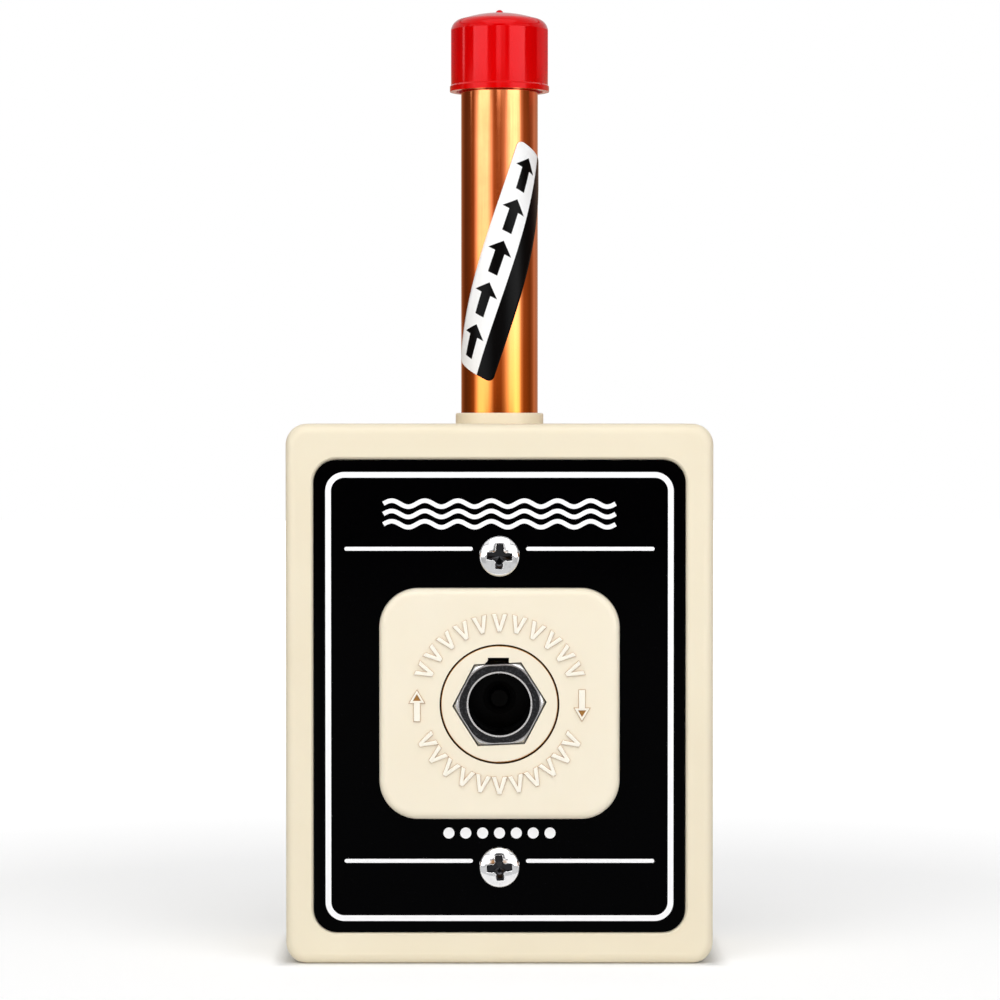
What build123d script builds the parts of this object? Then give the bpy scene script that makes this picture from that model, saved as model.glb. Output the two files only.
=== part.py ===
"""Surface-mounted medical gas outlet with a copper stub pipe, in millimetres.

+Z is up, the front faces -Y and the wall is behind at +Y. The origin is at the middle of the
base, under the centre of the whole outlet. The socket's own axis runs along Y.
"""
import os
from math import cos, degrees, pi, radians, sin, tan

from build123d import *

# Box cover
box_width = 81.25
box_height = 102.7
box_front_y = -18.5
wall_y = 21.5
box_corner = 4.0
box_edge = 2.0
side_wall = 2.5
front_wall = 3.2
rear_lip = 1.3
back_fit = 0.15
inner_rib = 1.4
side_rib_levels = (27.0, 51.0, 76.0)
end_rib_x = 24.4
tower_gusset = 1.2
tower_gusset_reach = 3.5

# Fascia plate, in a shallow recess of the cover
plate_width = 70.45
plate_height = 89.7
plate_thick = 1.0
plate_corner = 4.35
plate_centre_z = 51.0
plate_fit = 0.12
recess_depth = 1.15
recess_lip = 0.45

# Back plate
back_thick = 3.0
fixing_pitch_x = 56.0
fixing_pitch_z = 78.0
fixing_hole = 2.4
fixing_boss = 4.6
fixing_boss_height = 2.0
back_rib = 1.4
back_rib_height = 1.2

# Socket axis and the bezel around it
socket_z = 49.7
bezel_width = 45.5
bezel_height = 43.75
bezel_corner = 7.4
bezel_edge = 1.5
bezel_front_y = -21.1
bezel_deep = 8.4
bezel_face = 2.2
bezel_wall = 2.0
bezel_rib = 1.4
bezel_fit = 0.1
bezel_screw_x = 17.2
bezel_boss = 2.9
corner_rib_reach = 4.2
rib_overlap = 0.3

# Release ring
ring_wall = 3.52
ring_gap = 0.31
ring_rim_wall = 1.3
ring_disc = 2.2
ring_rim = 1.2
ring_travel = 3.0
rim_fit = 0.35
hex_fit = 0.25
key_left = -2.2
key_right = 1.8
key_rise = 1.3
key_flare = 0.75
ring_edge = 0.25

# Socket body, turned from hexagon bar
hex_flats = 15.0
hex_turn = 2.5
hex_length = 3.5
hex_chamfer = 0.75
nose_radius = 7.5
flange_wall = 1.1
flange_thick = 1.8
thread_radius = 10.0
tail_radius = 8.4
probe_bore = 6.5
port_radius = 3.2
seat_thick = 1.2
valve_chamber = 6.2
thread_length = 6.6
tail_length = 4.4
thread_chamfer = 0.6
relief_depth = 0.5

# Index collar and bore liner
collar_radius = 7.3
collar_flange = 0.6
collar_sleeve = 6.75
collar_sleeve_length = 3.4
liner_radius = 6.2
liner_bore = 5.9
liner_length = 6.9
probe_seal_inner = 5.7
probe_seal_section = 1.0
front_y = -21.5

# Latch balls and the sleeve that locks them
ball_radius = 1.25
ball_fit = 0.05
ball_count = 3
ball_proud = 1.05
ball_travel = 0.7
first_ball = 30.0
ball_y = -12.9
cone_gap = 0.04
sleeve_room = 1.5
sleeve_edge = 0.6
sleeve_ahead = 0.8
sleeve_behind = 1.5

# Springs
release_wire = 0.8
release_room = 1.3
release_turns = 5.5
check_wire = 0.5
check_coil = 3.6
check_turns = 3.0
isolator_wire = 0.5
isolator_coil = 3.4
isolator_turns = 3.0
spring_gap = 0.02

# Valve pieces
seat_gap = 0.2
poppet_disc = 2.0
poppet_overlap = 2.0
poppet_stem = 2.2
stem_proud = 2.9
stem_chamfer = 0.6
spigot_length = 0.9
spigot_fit = 0.3
face_seal_width = 1.4
face_seal_thick = 0.8
retainer_thick = 1.0
retainer_bore = 2.0
retainer_fit = 0.05
vent_count = 6
vent_radius = 0.6
vent_circle = 5.2
clip_thick = 0.75
clip_depth = 0.45
clip_inner = 5.3
clip_gap = 3.0
tail_seal_section = 0.525
isolator_disc = 1.4
isolator_overlap = 1.4
isolator_stem = 1.5
isolator_lift = 0.9
isolator_spigot = 0.6

# Fixing strap, behind the socket flange
strap_thick = 1.6
strap_width = 44.0
strap_height = 34.0
strap_tongue = 15.0
strap_reach = 6.0
strap_corner = 3.0
strap_fold = 5.0

# Base block with its valve chambers
block_width = 28.0
block_depth = 20.0
block_top = 71.0
block_bottom = 35.0
block_corner = 2.5
block_chamfer = 0.8
thread_fit = 0.03
pipe_socket_depth = 11.0
gas_way = 2.8
isolator_chamber = 6.5
isolator_port = 3.9
plug_radius = 8.0
plug_length = 2.6
plug_slot = 1.6
port_wall = 1.0
lead_in = 0.6

# Copper pipe, its collar, cap and label
pipe_radius = 7.5
pipe_wall = 0.7
pipe_y = 5.0
stub_length = 77.6
pipe_fit = 0.05
pipe_deburr = 0.2
grommet_wall = 1.075
grommet_rise = 2.1
grommet_edge = 0.4
slot_gap = 0.45
slot_fit = 0.1
grommet_flange = 1.5
grommet_flange_side = 2.2
cap_grip = 12.8
cap_shoulder_drop = 0.2
cap_proud = 2.6
cap_wall = 1.975
cap_rim_wall = 2.2
cap_rim_height = 1.3
cap_rim_slope = 0.3
cap_flare = 2.6
cap_corner = 2.2
cap_corner_low = 0.6
cap_corner_rise = 0.85
cap_dome = 1.2
cap_top_gap = 0.1
cap_bore_fit = 0.06
cap_mouth_wall = 1.0
nub_radius = 0.8
nub_proud = 3.2
label_length = 46.0
label_width = 11.5
label_slant = 21.5
label_thick = 0.1
label_drop = 46.5
label_turn = 6.0
label_gap = 0.02
label_corner = 1.3
label_end_sweep = 150.0

# Screws
fascia_screw_pitch = 59.0
fascia_screw_z = 48.1
screw_dome = 1.7
m4_radius = 2.0
m4_clear = 2.25
m3_radius = 1.5
m3_clear = 1.7
tap_fit = 0.04
pan_head = 3.85
pan_height = 2.5
cross_length = 4.6
cross_width = 1.25
cross_depth = 1.7
tower_radius = 4.7
nut_radius = 3.2
nut_height = 3.0
nut_spigot = 2.7
block_screw_inset = 3.6
block_screw_reach = 7.0
block_screw_key = 2.5
key_depth = 0.8
bezel_screw_head = 2.6
bezel_screw_thick = 1.6
bezel_screw_reach = 7.0
tap_spare = 1.0

# Sizes that follow the hexagon, the pipe and the box
ring_radius = hex_flats / 2 + ring_wall
key_top = hex_flats / 2 + key_rise
sleeve_mouth = hex_flats / 2 + sleeve_room
sleeve_radius = sleeve_mouth + sleeve_edge
release_coil = sleeve_radius + release_room
flange_radius = release_coil + flange_wall
ring_rim_radius = release_coil + ring_rim_wall
slot_width = 2 * (pipe_radius + slot_gap)
grommet_radius = pipe_radius + grommet_wall
cap_mouth = pipe_radius + cap_mouth_wall
cap_radius = pipe_radius + cap_wall
cap_rim = pipe_radius + cap_rim_wall
pipe_top = box_height + stub_length
cap_bottom = pipe_top - cap_grip
cap_shoulder = pipe_top - cap_shoulder_drop
cap_top = pipe_top + cap_proud
nub_top = pipe_top + nub_proud
label_z = pipe_top - label_drop

# Levels along Y that follow from the sizes above
recess_y = box_front_y + recess_depth
plate_y = recess_y - plate_thick
inner_y = box_front_y + front_wall
back_y = wall_y - back_thick
hex_y = front_y + collar_flange
hex_end_y = hex_y + hex_length
ring_stop_y = bezel_front_y + ring_disc
ring_rear_y = ring_stop_y + ring_rim
strap_y = -6.2
flange_y = strap_y - flange_thick
block_y = strap_y + strap_thick
block_rear_y = block_y + block_depth
thread_end_y = block_y + thread_length
tail_end_y = thread_end_y + tail_length
port_y = tail_end_y + seat_gap
isolator_y = port_y + port_wall
seat_y = -3.6
chamber_y = seat_y + seat_thick
bezel_rear_y = bezel_front_y + bezel_deep


def at_socket(shape):
    """Move a shape made about the Y axis onto the socket's axis."""
    return Pos(0, 0, socket_z) * shape


def turned(*profile):
    """Revolve (radius, y) points about the socket axis."""
    points = [(radius, y) for radius, y in profile]
    return at_socket(revolve(make_face(Polyline(*points, close=True)), Axis.Y))


def rod(radius, y0, y1, x=0.0, z=0.0):
    """A round bar along Y."""
    return Pos(x, (y0 + y1) / 2, z) * Rot(90, 0, 0) * Cylinder(radius, y1 - y0)


def socket_rod(radius, y0, y1):
    return rod(radius, y0, y1, 0, socket_z)


def slab(sketch, y0, y1):
    """Push a sketch drawn in X and Z from y0 back to y1."""
    return Pos(0, y1, 0) * extrude(Plane.XZ * sketch, amount=y1 - y0)


def upright(*profile):
    """Revolve (radius, z) points about the pipe's axis."""
    face = make_face(Plane.XZ * Polyline(*profile, close=True))
    return Pos(0, pipe_y, 0) * revolve(face, Axis.Z)


def coil(wire, radius, turns, y0, y1):
    """A compression spring between two faces, with a six-sided wire."""
    low = y0 + wire / 2 + spring_gap
    high = y1 - wire / 2 - spring_gap
    path = Helix(pitch=(high - low) / turns, height=high - low, radius=radius)
    start = Plane(origin=path @ 0, z_dir=path % 0)
    body = sweep(start * RegularPolygon(wire / 2, 6), path=path)
    return at_socket(Pos(0, high, 0) * Rot(90, 0, 0) * body)


def box_cover():
    """The moulded cover: a deep shell with a recess, screw towers, ribs and a pipe slot."""
    outline = RectangleRounded(box_width, box_height, box_corner)
    mid = Pos(0, box_height / 2)
    body = slab(mid * outline, box_front_y, wall_y)
    body = fillet(body.faces().sort_by(Axis.Y)[0].edges(), box_edge)
    inside = RectangleRounded(
        box_width - 2 * side_wall, box_height - 2 * side_wall, box_corner - side_wall
    )
    body -= slab(mid * inside, inner_y, wall_y)
    rebate = RectangleRounded(
        box_width - 2 * rear_lip, box_height - 2 * rear_lip, box_corner - rear_lip
    )
    body -= slab(mid * rebate, back_y, wall_y)
    body += cover_ribs()
    body += cover_towers()
    body -= plate_recess()
    window = RectangleRounded(
        bezel_width + 4 * bezel_fit, bezel_height + 4 * bezel_fit, bezel_corner + 2 * bezel_fit
    )
    body -= slab(Pos(0, socket_z) * window, box_front_y, inner_y)
    for z in fascia_screw_levels():
        body -= rod(m4_clear, box_front_y, strap_y, 0, z)
        body -= rod(nut_radius + 2 * plate_fit, strap_y - nut_height - plate_fit, strap_y, 0, z)
    return body - pipe_slot(slot_width / 2, box_height - side_wall, box_height)


def plate_recess():
    """The shallow recess for the fascia plate, with a rounded lip."""
    outline = RectangleRounded(
        plate_width + 2 * plate_fit, plate_height + 2 * plate_fit, plate_corner + plate_fit
    )
    lip = RectangleRounded(
        plate_width + 2 * (plate_fit + recess_lip),
        plate_height + 2 * (plate_fit + recess_lip),
        plate_corner + plate_fit + recess_lip,
    )
    place = Pos(0, plate_centre_z)
    pocket = slab(place * outline, box_front_y, recess_y)
    front = Plane(origin=(0, box_front_y, 0), x_dir=(1, 0, 0), z_dir=(0, -1, 0))
    flare = extrude(front * place * lip, amount=-recess_lip, taper=45)
    return pocket + flare


def cover_ribs():
    """Ribs along the inside of the walls, stopping short of the back plate."""
    ribs = Part()
    deep = back_y - inner_y
    mid_y = inner_y + deep / 2
    bar = Box(inner_rib, deep, inner_rib)
    inset = side_wall + inner_rib / 2
    for x in (inset - box_width / 2, box_width / 2 - inset):
        for z in side_rib_levels:
            ribs += Pos(x, mid_y, z) * bar
    for x in (-end_rib_x, end_rib_x):
        for z in (inset, box_height - inset):
            ribs += Pos(x, mid_y, z) * bar
    return ribs


def cover_towers():
    """The two screw towers that stand on the fixing strap, each with gussets to the front."""
    towers = Part()
    middle = sum(fascia_screw_levels()) / 2
    deep = (strap_y - inner_y) / 2
    for z in fascia_screw_levels():
        towers += rod(tower_radius, inner_y, strap_y, 0, z)
        outward = 1 if z > middle else -1
        wide = 2 * (tower_radius + tower_gusset_reach)
        towers += Pos(0, inner_y + deep / 2, z) * Box(wide, deep, tower_gusset)
        reach = tower_radius + tower_gusset_reach
        fin = Box(tower_gusset, deep, reach)
        towers += Pos(0, inner_y + deep / 2, z + outward * reach / 2) * fin
    return towers


def fascia_screw_levels():
    half = fascia_screw_pitch / 2
    return (fascia_screw_z + half, fascia_screw_z - half)


def pipe_slot(half_width, z0, z1):
    """The slot in the top wall: round in front of the pipe and open to the rear."""
    high = z1 - z0
    mid_z = (z0 + z1) / 2
    long = wall_y - pipe_y
    slot = Pos(0, pipe_y, mid_z) * Cylinder(half_width, high)
    return slot + Pos(0, pipe_y + long / 2, mid_z) * Box(2 * half_width, long, high)


def fascia_plate():
    """The black face plate, with a window for the bezel and two screw holes."""
    outline = Pos(0, plate_centre_z) * RectangleRounded(plate_width, plate_height, plate_corner)
    window = RectangleRounded(
        bezel_width + 2 * bezel_fit, bezel_height + 2 * bezel_fit, bezel_corner + bezel_fit
    )
    plate = slab(outline, plate_y, recess_y)
    plate -= slab(Pos(0, socket_z) * window, plate_y, recess_y)
    for z in fascia_screw_levels():
        plate -= rod(m4_clear, plate_y, recess_y, 0, z)
    return plate


def back_plate():
    """The wall plate, with four fixing holes and two pads that carry the base block."""
    outline = RectangleRounded(
        box_width - 2 * (rear_lip + back_fit),
        box_height - 2 * (rear_lip + back_fit),
        box_corner - rear_lip - back_fit,
    )
    plate = slab(Pos(0, box_height / 2) * outline, back_y, wall_y)
    for side in (-1, 1):
        rail = Box(back_rib, back_rib_height, fixing_pitch_z)
        plate += Pos(side * fixing_pitch_x / 2, back_y - back_rib_height / 2, box_height / 2) * rail
    for x, z in fixing_places():
        plate += rod(fixing_boss, back_y - fixing_boss_height, back_y, x, z)
    for x, z in block_screw_places():
        plate += rod(2 * m4_radius, block_rear_y, back_y, x, z)
    for x, z in fixing_places():
        plate -= rod(fixing_hole, back_y - fixing_boss_height, wall_y, x, z)
    for x, z in block_screw_places():
        plate -= rod(m4_clear, block_rear_y, wall_y, x, z)
        plate -= rod(pan_head + 2 * plate_fit, wall_y - pan_height / 2, wall_y, x, z)
    return plate - pipe_slot(slot_width / 2 + slot_fit, box_height - side_wall - slot_fit, box_height)


def fixing_places():
    for x in (-fixing_pitch_x / 2, fixing_pitch_x / 2):
        for z in (-fixing_pitch_z / 2, fixing_pitch_z / 2):
            yield x, box_height / 2 + z


def block_screw_places():
    half = block_width / 2 - block_screw_inset
    for x in (-half, half):
        for z in (block_bottom + block_screw_inset, block_top - block_screw_inset):
            yield x, z


def bezel():
    """The cream bezel: a shelled face with a guide tube, radial ribs and two screw bosses."""
    place = Pos(0, socket_z)
    body = slab(
        place * RectangleRounded(bezel_width, bezel_height, bezel_corner),
        bezel_front_y,
        bezel_rear_y,
    )
    body = fillet(body.faces().sort_by(Axis.Y)[0].edges(), bezel_edge)
    hollow = RectangleRounded(
        bezel_width - 2 * bezel_wall, bezel_height - 2 * bezel_wall, bezel_corner - bezel_wall
    )
    body -= slab(place * hollow, bezel_front_y + bezel_face, bezel_rear_y)
    tube_bore = ring_rim_radius + rim_fit
    tube_outer = tube_bore + bezel_wall
    body += socket_rod(tube_outer, bezel_front_y + bezel_face, strap_y)
    for x in (-bezel_screw_x, bezel_screw_x):
        body += rod(bezel_boss, bezel_front_y + bezel_face, strap_y, x, socket_z)
    body += bezel_ribs(tube_outer)
    body -= socket_rod(ring_radius + ring_gap, bezel_front_y, ring_stop_y)
    body -= socket_rod(tube_bore, ring_stop_y, strap_y)
    for x in (-bezel_screw_x, bezel_screw_x):
        body -= rod(m3_radius + tap_fit, ring_stop_y + bezel_face, strap_y, x, socket_z)
    return body


def bezel_ribs(tube_outer):
    """Ribs from the guide tube to the middle of each side and to the corners."""
    ribs = Part()
    y0 = bezel_front_y + bezel_face
    y1 = bezel_rear_y - bezel_wall
    reach = bezel_height / 2 - bezel_wall / 2 - tube_outer
    # the two level ribs give way to the screw bosses
    for angle in (45, 90, 135, 225, 270, 315):
        length = reach if angle % 90 == 0 else reach + corner_rib_reach
        rib = Pos(tube_outer - rib_overlap + length / 2, (y0 + y1) / 2, 0) * Box(
            length, y1 - y0, bezel_rib
        )
        ribs += at_socket(Rot(0, angle, 0) * rib)
    return ribs


def hexagon(flats):
    """A hexagon across its flats, with two corners at the sides, turned as it is screwed in."""
    return Rot(0, 0, hex_turn) * RegularPolygon(flats / 2, 6, major_radius=False)


def release_ring():
    """The cream push ring: a disc with a hexagon hole and key notch, and a rim behind it."""
    ring = turned(
        (0, bezel_front_y),
        (ring_radius, bezel_front_y),
        (ring_radius, ring_stop_y),
        (ring_rim_radius, ring_stop_y),
        (ring_rim_radius, ring_rear_y),
        (0, ring_rear_y),
    )
    front_rim = ring.edges().filter_by(GeomType.CIRCLE).sort_by(Axis.Y)[0]
    ring = fillet(front_rim, ring_edge)
    opening = Pos(0, socket_z) * hexagon(hex_flats + 2 * hex_fit)
    ring -= slab(opening, bezel_front_y, ring_rear_y)
    key_mid = (key_left + key_right) / 2
    key = Pos(key_mid, socket_z + key_top / 2) * Rectangle(key_right - key_left, key_top)
    ring -= slab(key, bezel_front_y, ring_rear_y)
    flare = Pos(0, socket_z) * make_face(
        Polyline(
            (key_left, hex_flats / 2 + key_flare),
            (key_left + key_flare, hex_flats / 2),
            (key_left - key_flare, hex_flats / 2),
            close=True,
        )
    )
    ring -= slab(flare, bezel_front_y, ring_rear_y)
    return ring - socket_rod(sleeve_radius, ring_rear_y - ring_rim, ring_rear_y)


def cone_radius(y):
    """The locking cone's radius at a level y, from the slope that the ball follows."""
    slope = ball_travel / ring_travel
    on_ball = ball_centre() + (ball_radius + cone_gap) * (1 + slope**2) ** 0.5
    return on_ball - slope * (y - ball_y)


def lock_sleeve():
    """The steel sleeve in the release ring, whose inner cone holds the latch balls in."""
    front = ring_rear_y - ring_rim
    mouth = ball_y - ring_travel - sleeve_ahead
    rear = ball_y + sleeve_behind
    return turned(
        (sleeve_mouth, front),
        (sleeve_radius, front),
        (sleeve_radius, rear),
        (cone_radius(rear), rear),
        (cone_radius(mouth), mouth),
        (sleeve_mouth, mouth),
    )


def ball_centre():
    return probe_bore - ball_proud + ball_radius


def latch_ball(index):
    """One steel ball, resting in its hole so that it stands into the bore."""
    angle = radians(first_ball + 360 / ball_count * index)
    x = ball_centre() * cos(angle)
    z = ball_centre() * sin(angle)
    return Pos(x, ball_y, socket_z + z) * Sphere(ball_radius)


def socket_body():
    """The turned socket: hexagon nose, ball holes, seal groove, valve seat and threaded tail."""
    nose = slab(Pos(0, socket_z) * hexagon(hex_flats), hex_y, hex_end_y)
    corner = hex_flats / 2 / cos(pi / 6)
    nose &= turned(
        (0, hex_y),
        (corner - hex_chamfer, hex_y),
        (corner + hex_chamfer, hex_y + 2 * hex_chamfer * tan(radians(30))),
        (corner + hex_chamfer, hex_end_y),
        (0, hex_end_y),
    )
    body = nose + turned(
        (0, hex_end_y),
        (nose_radius, hex_end_y),
        (nose_radius, flange_y),
        (flange_radius, flange_y),
        (flange_radius, strap_y),
        (thread_radius - relief_depth, strap_y),
        (thread_radius - relief_depth, block_y - thread_chamfer),
        (thread_radius, block_y),
        (thread_radius, thread_end_y - thread_chamfer),
        (thread_radius - thread_chamfer, thread_end_y),
        (tail_radius, thread_end_y),
        (tail_radius, tail_end_y),
        (0, tail_end_y),
    )
    body -= socket_rod(collar_sleeve, hex_y, hex_y + collar_sleeve_length)
    body -= socket_rod(liner_radius, hex_y, front_y + liner_length)
    body -= socket_rod(probe_bore, front_y + liner_length, seat_y)
    body -= socket_rod(port_radius, seat_y, chamber_y)
    body -= socket_rod(valve_chamber, chamber_y, tail_end_y)
    seal_outer = probe_seal_inner + 2 * probe_seal_section
    body -= ring_groove(port_radius, seal_outer, probe_seal_y(), 2 * (probe_seal_section + ball_fit))
    tail_groove = tail_radius + pipe_fit - 2 * tail_seal_section
    body -= ring_groove(
        tail_groove, tail_radius + relief_depth, body_seal_y(), 2 * (tail_seal_section + ball_fit)
    )
    body -= ring_groove(retainer_bore, valve_chamber + clip_depth, clip_y(), clip_thick + ball_fit)
    out = 2 * ball_radius
    for index in range(ball_count):
        hole = Pos(ball_centre() + out / 2, ball_y, 0) * Rot(0, 90, 0) * Cylinder(
            ball_radius + ball_fit, out
        )
        hole += Pos(ball_centre(), ball_y, 0) * Sphere(ball_radius + ball_fit)
        body -= at_socket(Rot(0, -(first_ball + 360 / ball_count * index), 0) * hole)
    return body


def ring_groove(inner, outer, mid_y, width):
    return turned(
        (inner, mid_y - width / 2),
        (outer, mid_y - width / 2),
        (outer, mid_y + width / 2),
        (inner, mid_y + width / 2),
    )


def probe_seal_y():
    return strap_y


def body_seal_y():
    return thread_end_y + 3 * tail_seal_section


def clip_y():
    return tail_end_y - clip_thick


def seal_ring(inner, outer, mid_y):
    """A round-section seal that fills its groove from inner to outer radius."""
    section = (outer - inner) / 2
    ring = Rot(90, 0, 0) * Torus((inner + outer) / 2, section)
    return at_socket(Pos(0, mid_y, 0) * ring)


def index_collar():
    """The black gas-specific collar, with a flange on the hexagon's face."""
    collar = turned(
        (liner_radius, front_y),
        (collar_radius - collar_flange / 3, front_y),
        (collar_radius, front_y + collar_flange / 3),
        (collar_radius, hex_y),
        (collar_sleeve, hex_y),
        (collar_sleeve, hex_y + collar_sleeve_length),
        (liner_radius, hex_y + collar_sleeve_length),
    )
    return collar


def bore_liner():
    """The thin steel liner that guides the probe."""
    return turned(
        (liner_bore, front_y),
        (liner_radius, front_y),
        (liner_radius, front_y + liner_length),
        (liner_bore, front_y + liner_length),
    )


def poppet_y():
    return chamber_y + seat_gap


def face_seal_radii():
    inner = port_radius + seat_gap
    return inner, inner + face_seal_width


def check_poppet():
    """The check valve: a disc with a seal groove, a stem for the probe and a rear spigot."""
    tip_y = seat_y - stem_proud
    disc_radius = port_radius + poppet_overlap
    disc_rear = poppet_y() + poppet_disc
    spigot = check_coil - check_wire - spigot_fit
    poppet = turned(
        (0, tip_y),
        (poppet_stem - stem_chamfer, tip_y),
        (poppet_stem, tip_y + stem_chamfer),
        (poppet_stem, poppet_y()),
        (disc_radius, poppet_y()),
        (disc_radius, disc_rear),
        (spigot, disc_rear),
        (spigot, disc_rear + spigot_length),
        (0, disc_rear + spigot_length),
    )
    inner, outer = face_seal_radii()
    return poppet - turned(
        (inner, chamber_y),
        (outer, chamber_y),
        (outer, chamber_y + face_seal_thick),
        (inner, chamber_y + face_seal_thick),
    )


def poppet_seal():
    """The flat seal ring in the poppet's face, shut on the seat."""
    inner, outer = face_seal_radii()
    return turned(
        (inner, chamber_y),
        (outer, chamber_y),
        (outer, chamber_y + face_seal_thick),
        (inner, chamber_y + face_seal_thick),
    )


def retainer_y():
    return clip_y() - clip_thick / 2 - retainer_thick


def check_spring():
    return coil(check_wire, check_coil, check_turns, poppet_y() + poppet_disc, retainer_y())


def spring_retainer():
    """A perforated disc behind the check spring."""
    rear = retainer_y() + retainer_thick
    disc = turned(
        (retainer_bore, retainer_y()),
        (valve_chamber - retainer_fit, retainer_y()),
        (valve_chamber - retainer_fit, rear),
        (retainer_bore, rear),
    )
    for index in range(vent_count):
        angle = radians(360 / vent_count * index)
        x = vent_circle * cos(angle)
        z = socket_z + vent_circle * sin(angle)
        disc -= rod(vent_radius, retainer_y(), rear, x, z)
    return disc


def retainer_clip():
    """The spring clip in its groove behind the retainer."""
    clip = ring_groove(clip_inner, valve_chamber + clip_depth, clip_y(), clip_thick)
    gap = Pos(0, clip_y(), -valve_chamber) * Box(clip_gap, 2 * clip_thick, clip_gap)
    return clip - at_socket(gap)


def fixing_strap():
    """The pressed steel strap behind the flange: folded sides, and tongues for the fascia screws."""
    top, bottom = fascia_screw_levels()
    flat_width = strap_width - 2 * strap_thick
    plate = Pos(0, socket_z) * RectangleRounded(flat_width, strap_height, strap_corner)
    tongue_high = top - bottom + 2 * strap_reach
    plate += Pos(0, (top + bottom) / 2) * RectangleRounded(
        strap_tongue, tongue_high, strap_corner
    )
    strap = slab(plate, strap_y, block_y)
    for side in (-1, 1):
        strap += Pos(side * flat_width / 2, block_y, socket_z) * strap_side(side)
    strap -= socket_rod(thread_radius + 2 * plate_fit, strap_y, block_y)
    for z in (top, bottom):
        strap -= rod(nut_spigot, strap_y, block_y, 0, z)
    for x in (-bezel_screw_x, bezel_screw_x):
        strap -= rod(m3_clear, strap_y, block_y, x, socket_z)
    return strap


def strap_side(side):
    """One folded side of the strap, with its bend rounded outside."""
    high = strap_height - 2 * strap_corner
    bend = Cylinder(strap_thick, high)
    bend &= Pos(side * strap_thick / 2, -strap_thick / 2, 0) * Box(strap_thick, strap_thick, high)
    flank = Pos(side * strap_thick / 2, strap_fold / 2, 0) * Box(strap_thick, strap_fold, high)
    return bend + flank


def clinch_nut(z):
    """A press-in nut on the strap, inside the end of a screw tower."""
    nut = rod(nut_radius, strap_y - nut_height, strap_y, 0, z)
    nut += rod(nut_spigot, strap_y, block_y, 0, z)
    return nut - rod(m4_radius + tap_fit, strap_y - nut_height, block_y, 0, z)


def base_block():
    """The brass block: pipe socket above, socket body in front and isolating valve behind."""
    outline = RectangleRounded(block_width, block_top - block_bottom, block_corner)
    block = slab(Pos(0, (block_top + block_bottom) / 2) * outline, block_y, block_rear_y)
    rear_edges = block.faces().sort_by(Axis.Y)[-1].edges()
    front_edges = block.faces().sort_by(Axis.Y)[0].edges()
    block = chamfer(rear_edges + front_edges, block_chamfer)
    block -= socket_rod(thread_radius + thread_fit, block_y, thread_end_y)
    block -= socket_rod(tail_radius + pipe_fit, thread_end_y, port_y)
    block -= socket_rod(isolator_port, port_y, isolator_y)
    block -= socket_rod(isolator_chamber, isolator_y, block_rear_y)
    block -= socket_rod(plug_radius + thread_fit, block_rear_y - plug_length, block_rear_y)
    block -= upright(
        (0, block_top - pipe_socket_depth),
        (pipe_radius + pipe_fit, block_top - pipe_socket_depth),
        (pipe_radius + pipe_fit, block_top - lead_in),
        (pipe_radius + pipe_fit + lead_in, block_top),
        (0, block_top),
    )
    way_high = block_top - pipe_socket_depth - socket_z
    block -= Pos(0, isolator_y + gas_way, socket_z + way_high / 2) * Cylinder(gas_way, way_high)
    tap_end = block_rear_y - block_screw_reach - tap_spare
    for x, z in block_screw_places():
        block -= rod(m4_radius + tap_fit, tap_end, block_rear_y, x, z)
    return block


def isolator_disc_y():
    return isolator_y + isolator_lift


def isolating_poppet():
    """The isolating valve, held open by its stem against the socket's retainer."""
    disc_y = isolator_disc_y()
    disc_rear = disc_y + isolator_disc
    stem_y = retainer_y() + retainer_thick
    spigot = isolator_coil - isolator_wire - spigot_fit
    return turned(
        (0, stem_y),
        (isolator_stem, stem_y),
        (isolator_stem, disc_y),
        (isolator_port + isolator_overlap, disc_y),
        (isolator_port + isolator_overlap, disc_rear),
        (spigot, disc_rear),
        (spigot, disc_rear + isolator_spigot),
        (0, disc_rear + isolator_spigot),
    )


def isolator_spring():
    y0 = isolator_disc_y() + isolator_disc
    return coil(isolator_wire, isolator_coil, isolator_turns, y0, block_rear_y - plug_length)


def chamber_plug():
    """The rear plug of the block, with a slot for a key."""
    plug = socket_rod(plug_radius, block_rear_y - plug_length, block_rear_y)
    slot = Pos(0, block_rear_y, socket_z) * Box(plug_radius, plug_slot, plug_slot)
    return plug - slot


def copper_pipe():
    """The stub pipe, with its cut ends deburred."""
    foot = block_top - pipe_socket_depth
    return upright(
        (pipe_radius - pipe_wall, foot),
        (pipe_radius - pipe_deburr, foot),
        (pipe_radius, foot + pipe_deburr),
        (pipe_radius, pipe_top - pipe_deburr),
        (pipe_radius - pipe_deburr, pipe_top),
        (pipe_radius - pipe_wall, pipe_top),
    )


def pipe_collar():
    """The cream collar: a ring round the pipe, with a web that closes the slot behind it."""
    top = box_height
    web_low = top - side_wall
    web = pipe_slot(slot_width / 2 - slot_fit, web_low, top)
    web += Pos(0, pipe_y, top + grommet_rise / 2) * Cylinder(grommet_radius, grommet_rise)
    web = fillet(web.edges().filter_by(GeomType.CIRCLE).sort_by(Axis.Z)[-1], grommet_edge)
    half = slot_width / 2 + grommet_flange_side
    under = Pos(0, pipe_y, web_low - grommet_flange / 2) * Cylinder(half, grommet_flange)
    long = back_y - pipe_y - 2 * plate_fit
    under += Pos(0, pipe_y + long / 2, web_low - grommet_flange / 2) * Box(
        2 * half, long, grommet_flange
    )
    hole_high = 2 * (side_wall + grommet_flange + grommet_rise)
    hole = Pos(0, pipe_y, top) * Cylinder(pipe_radius + pipe_fit, hole_high)
    return web + under - hole


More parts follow.
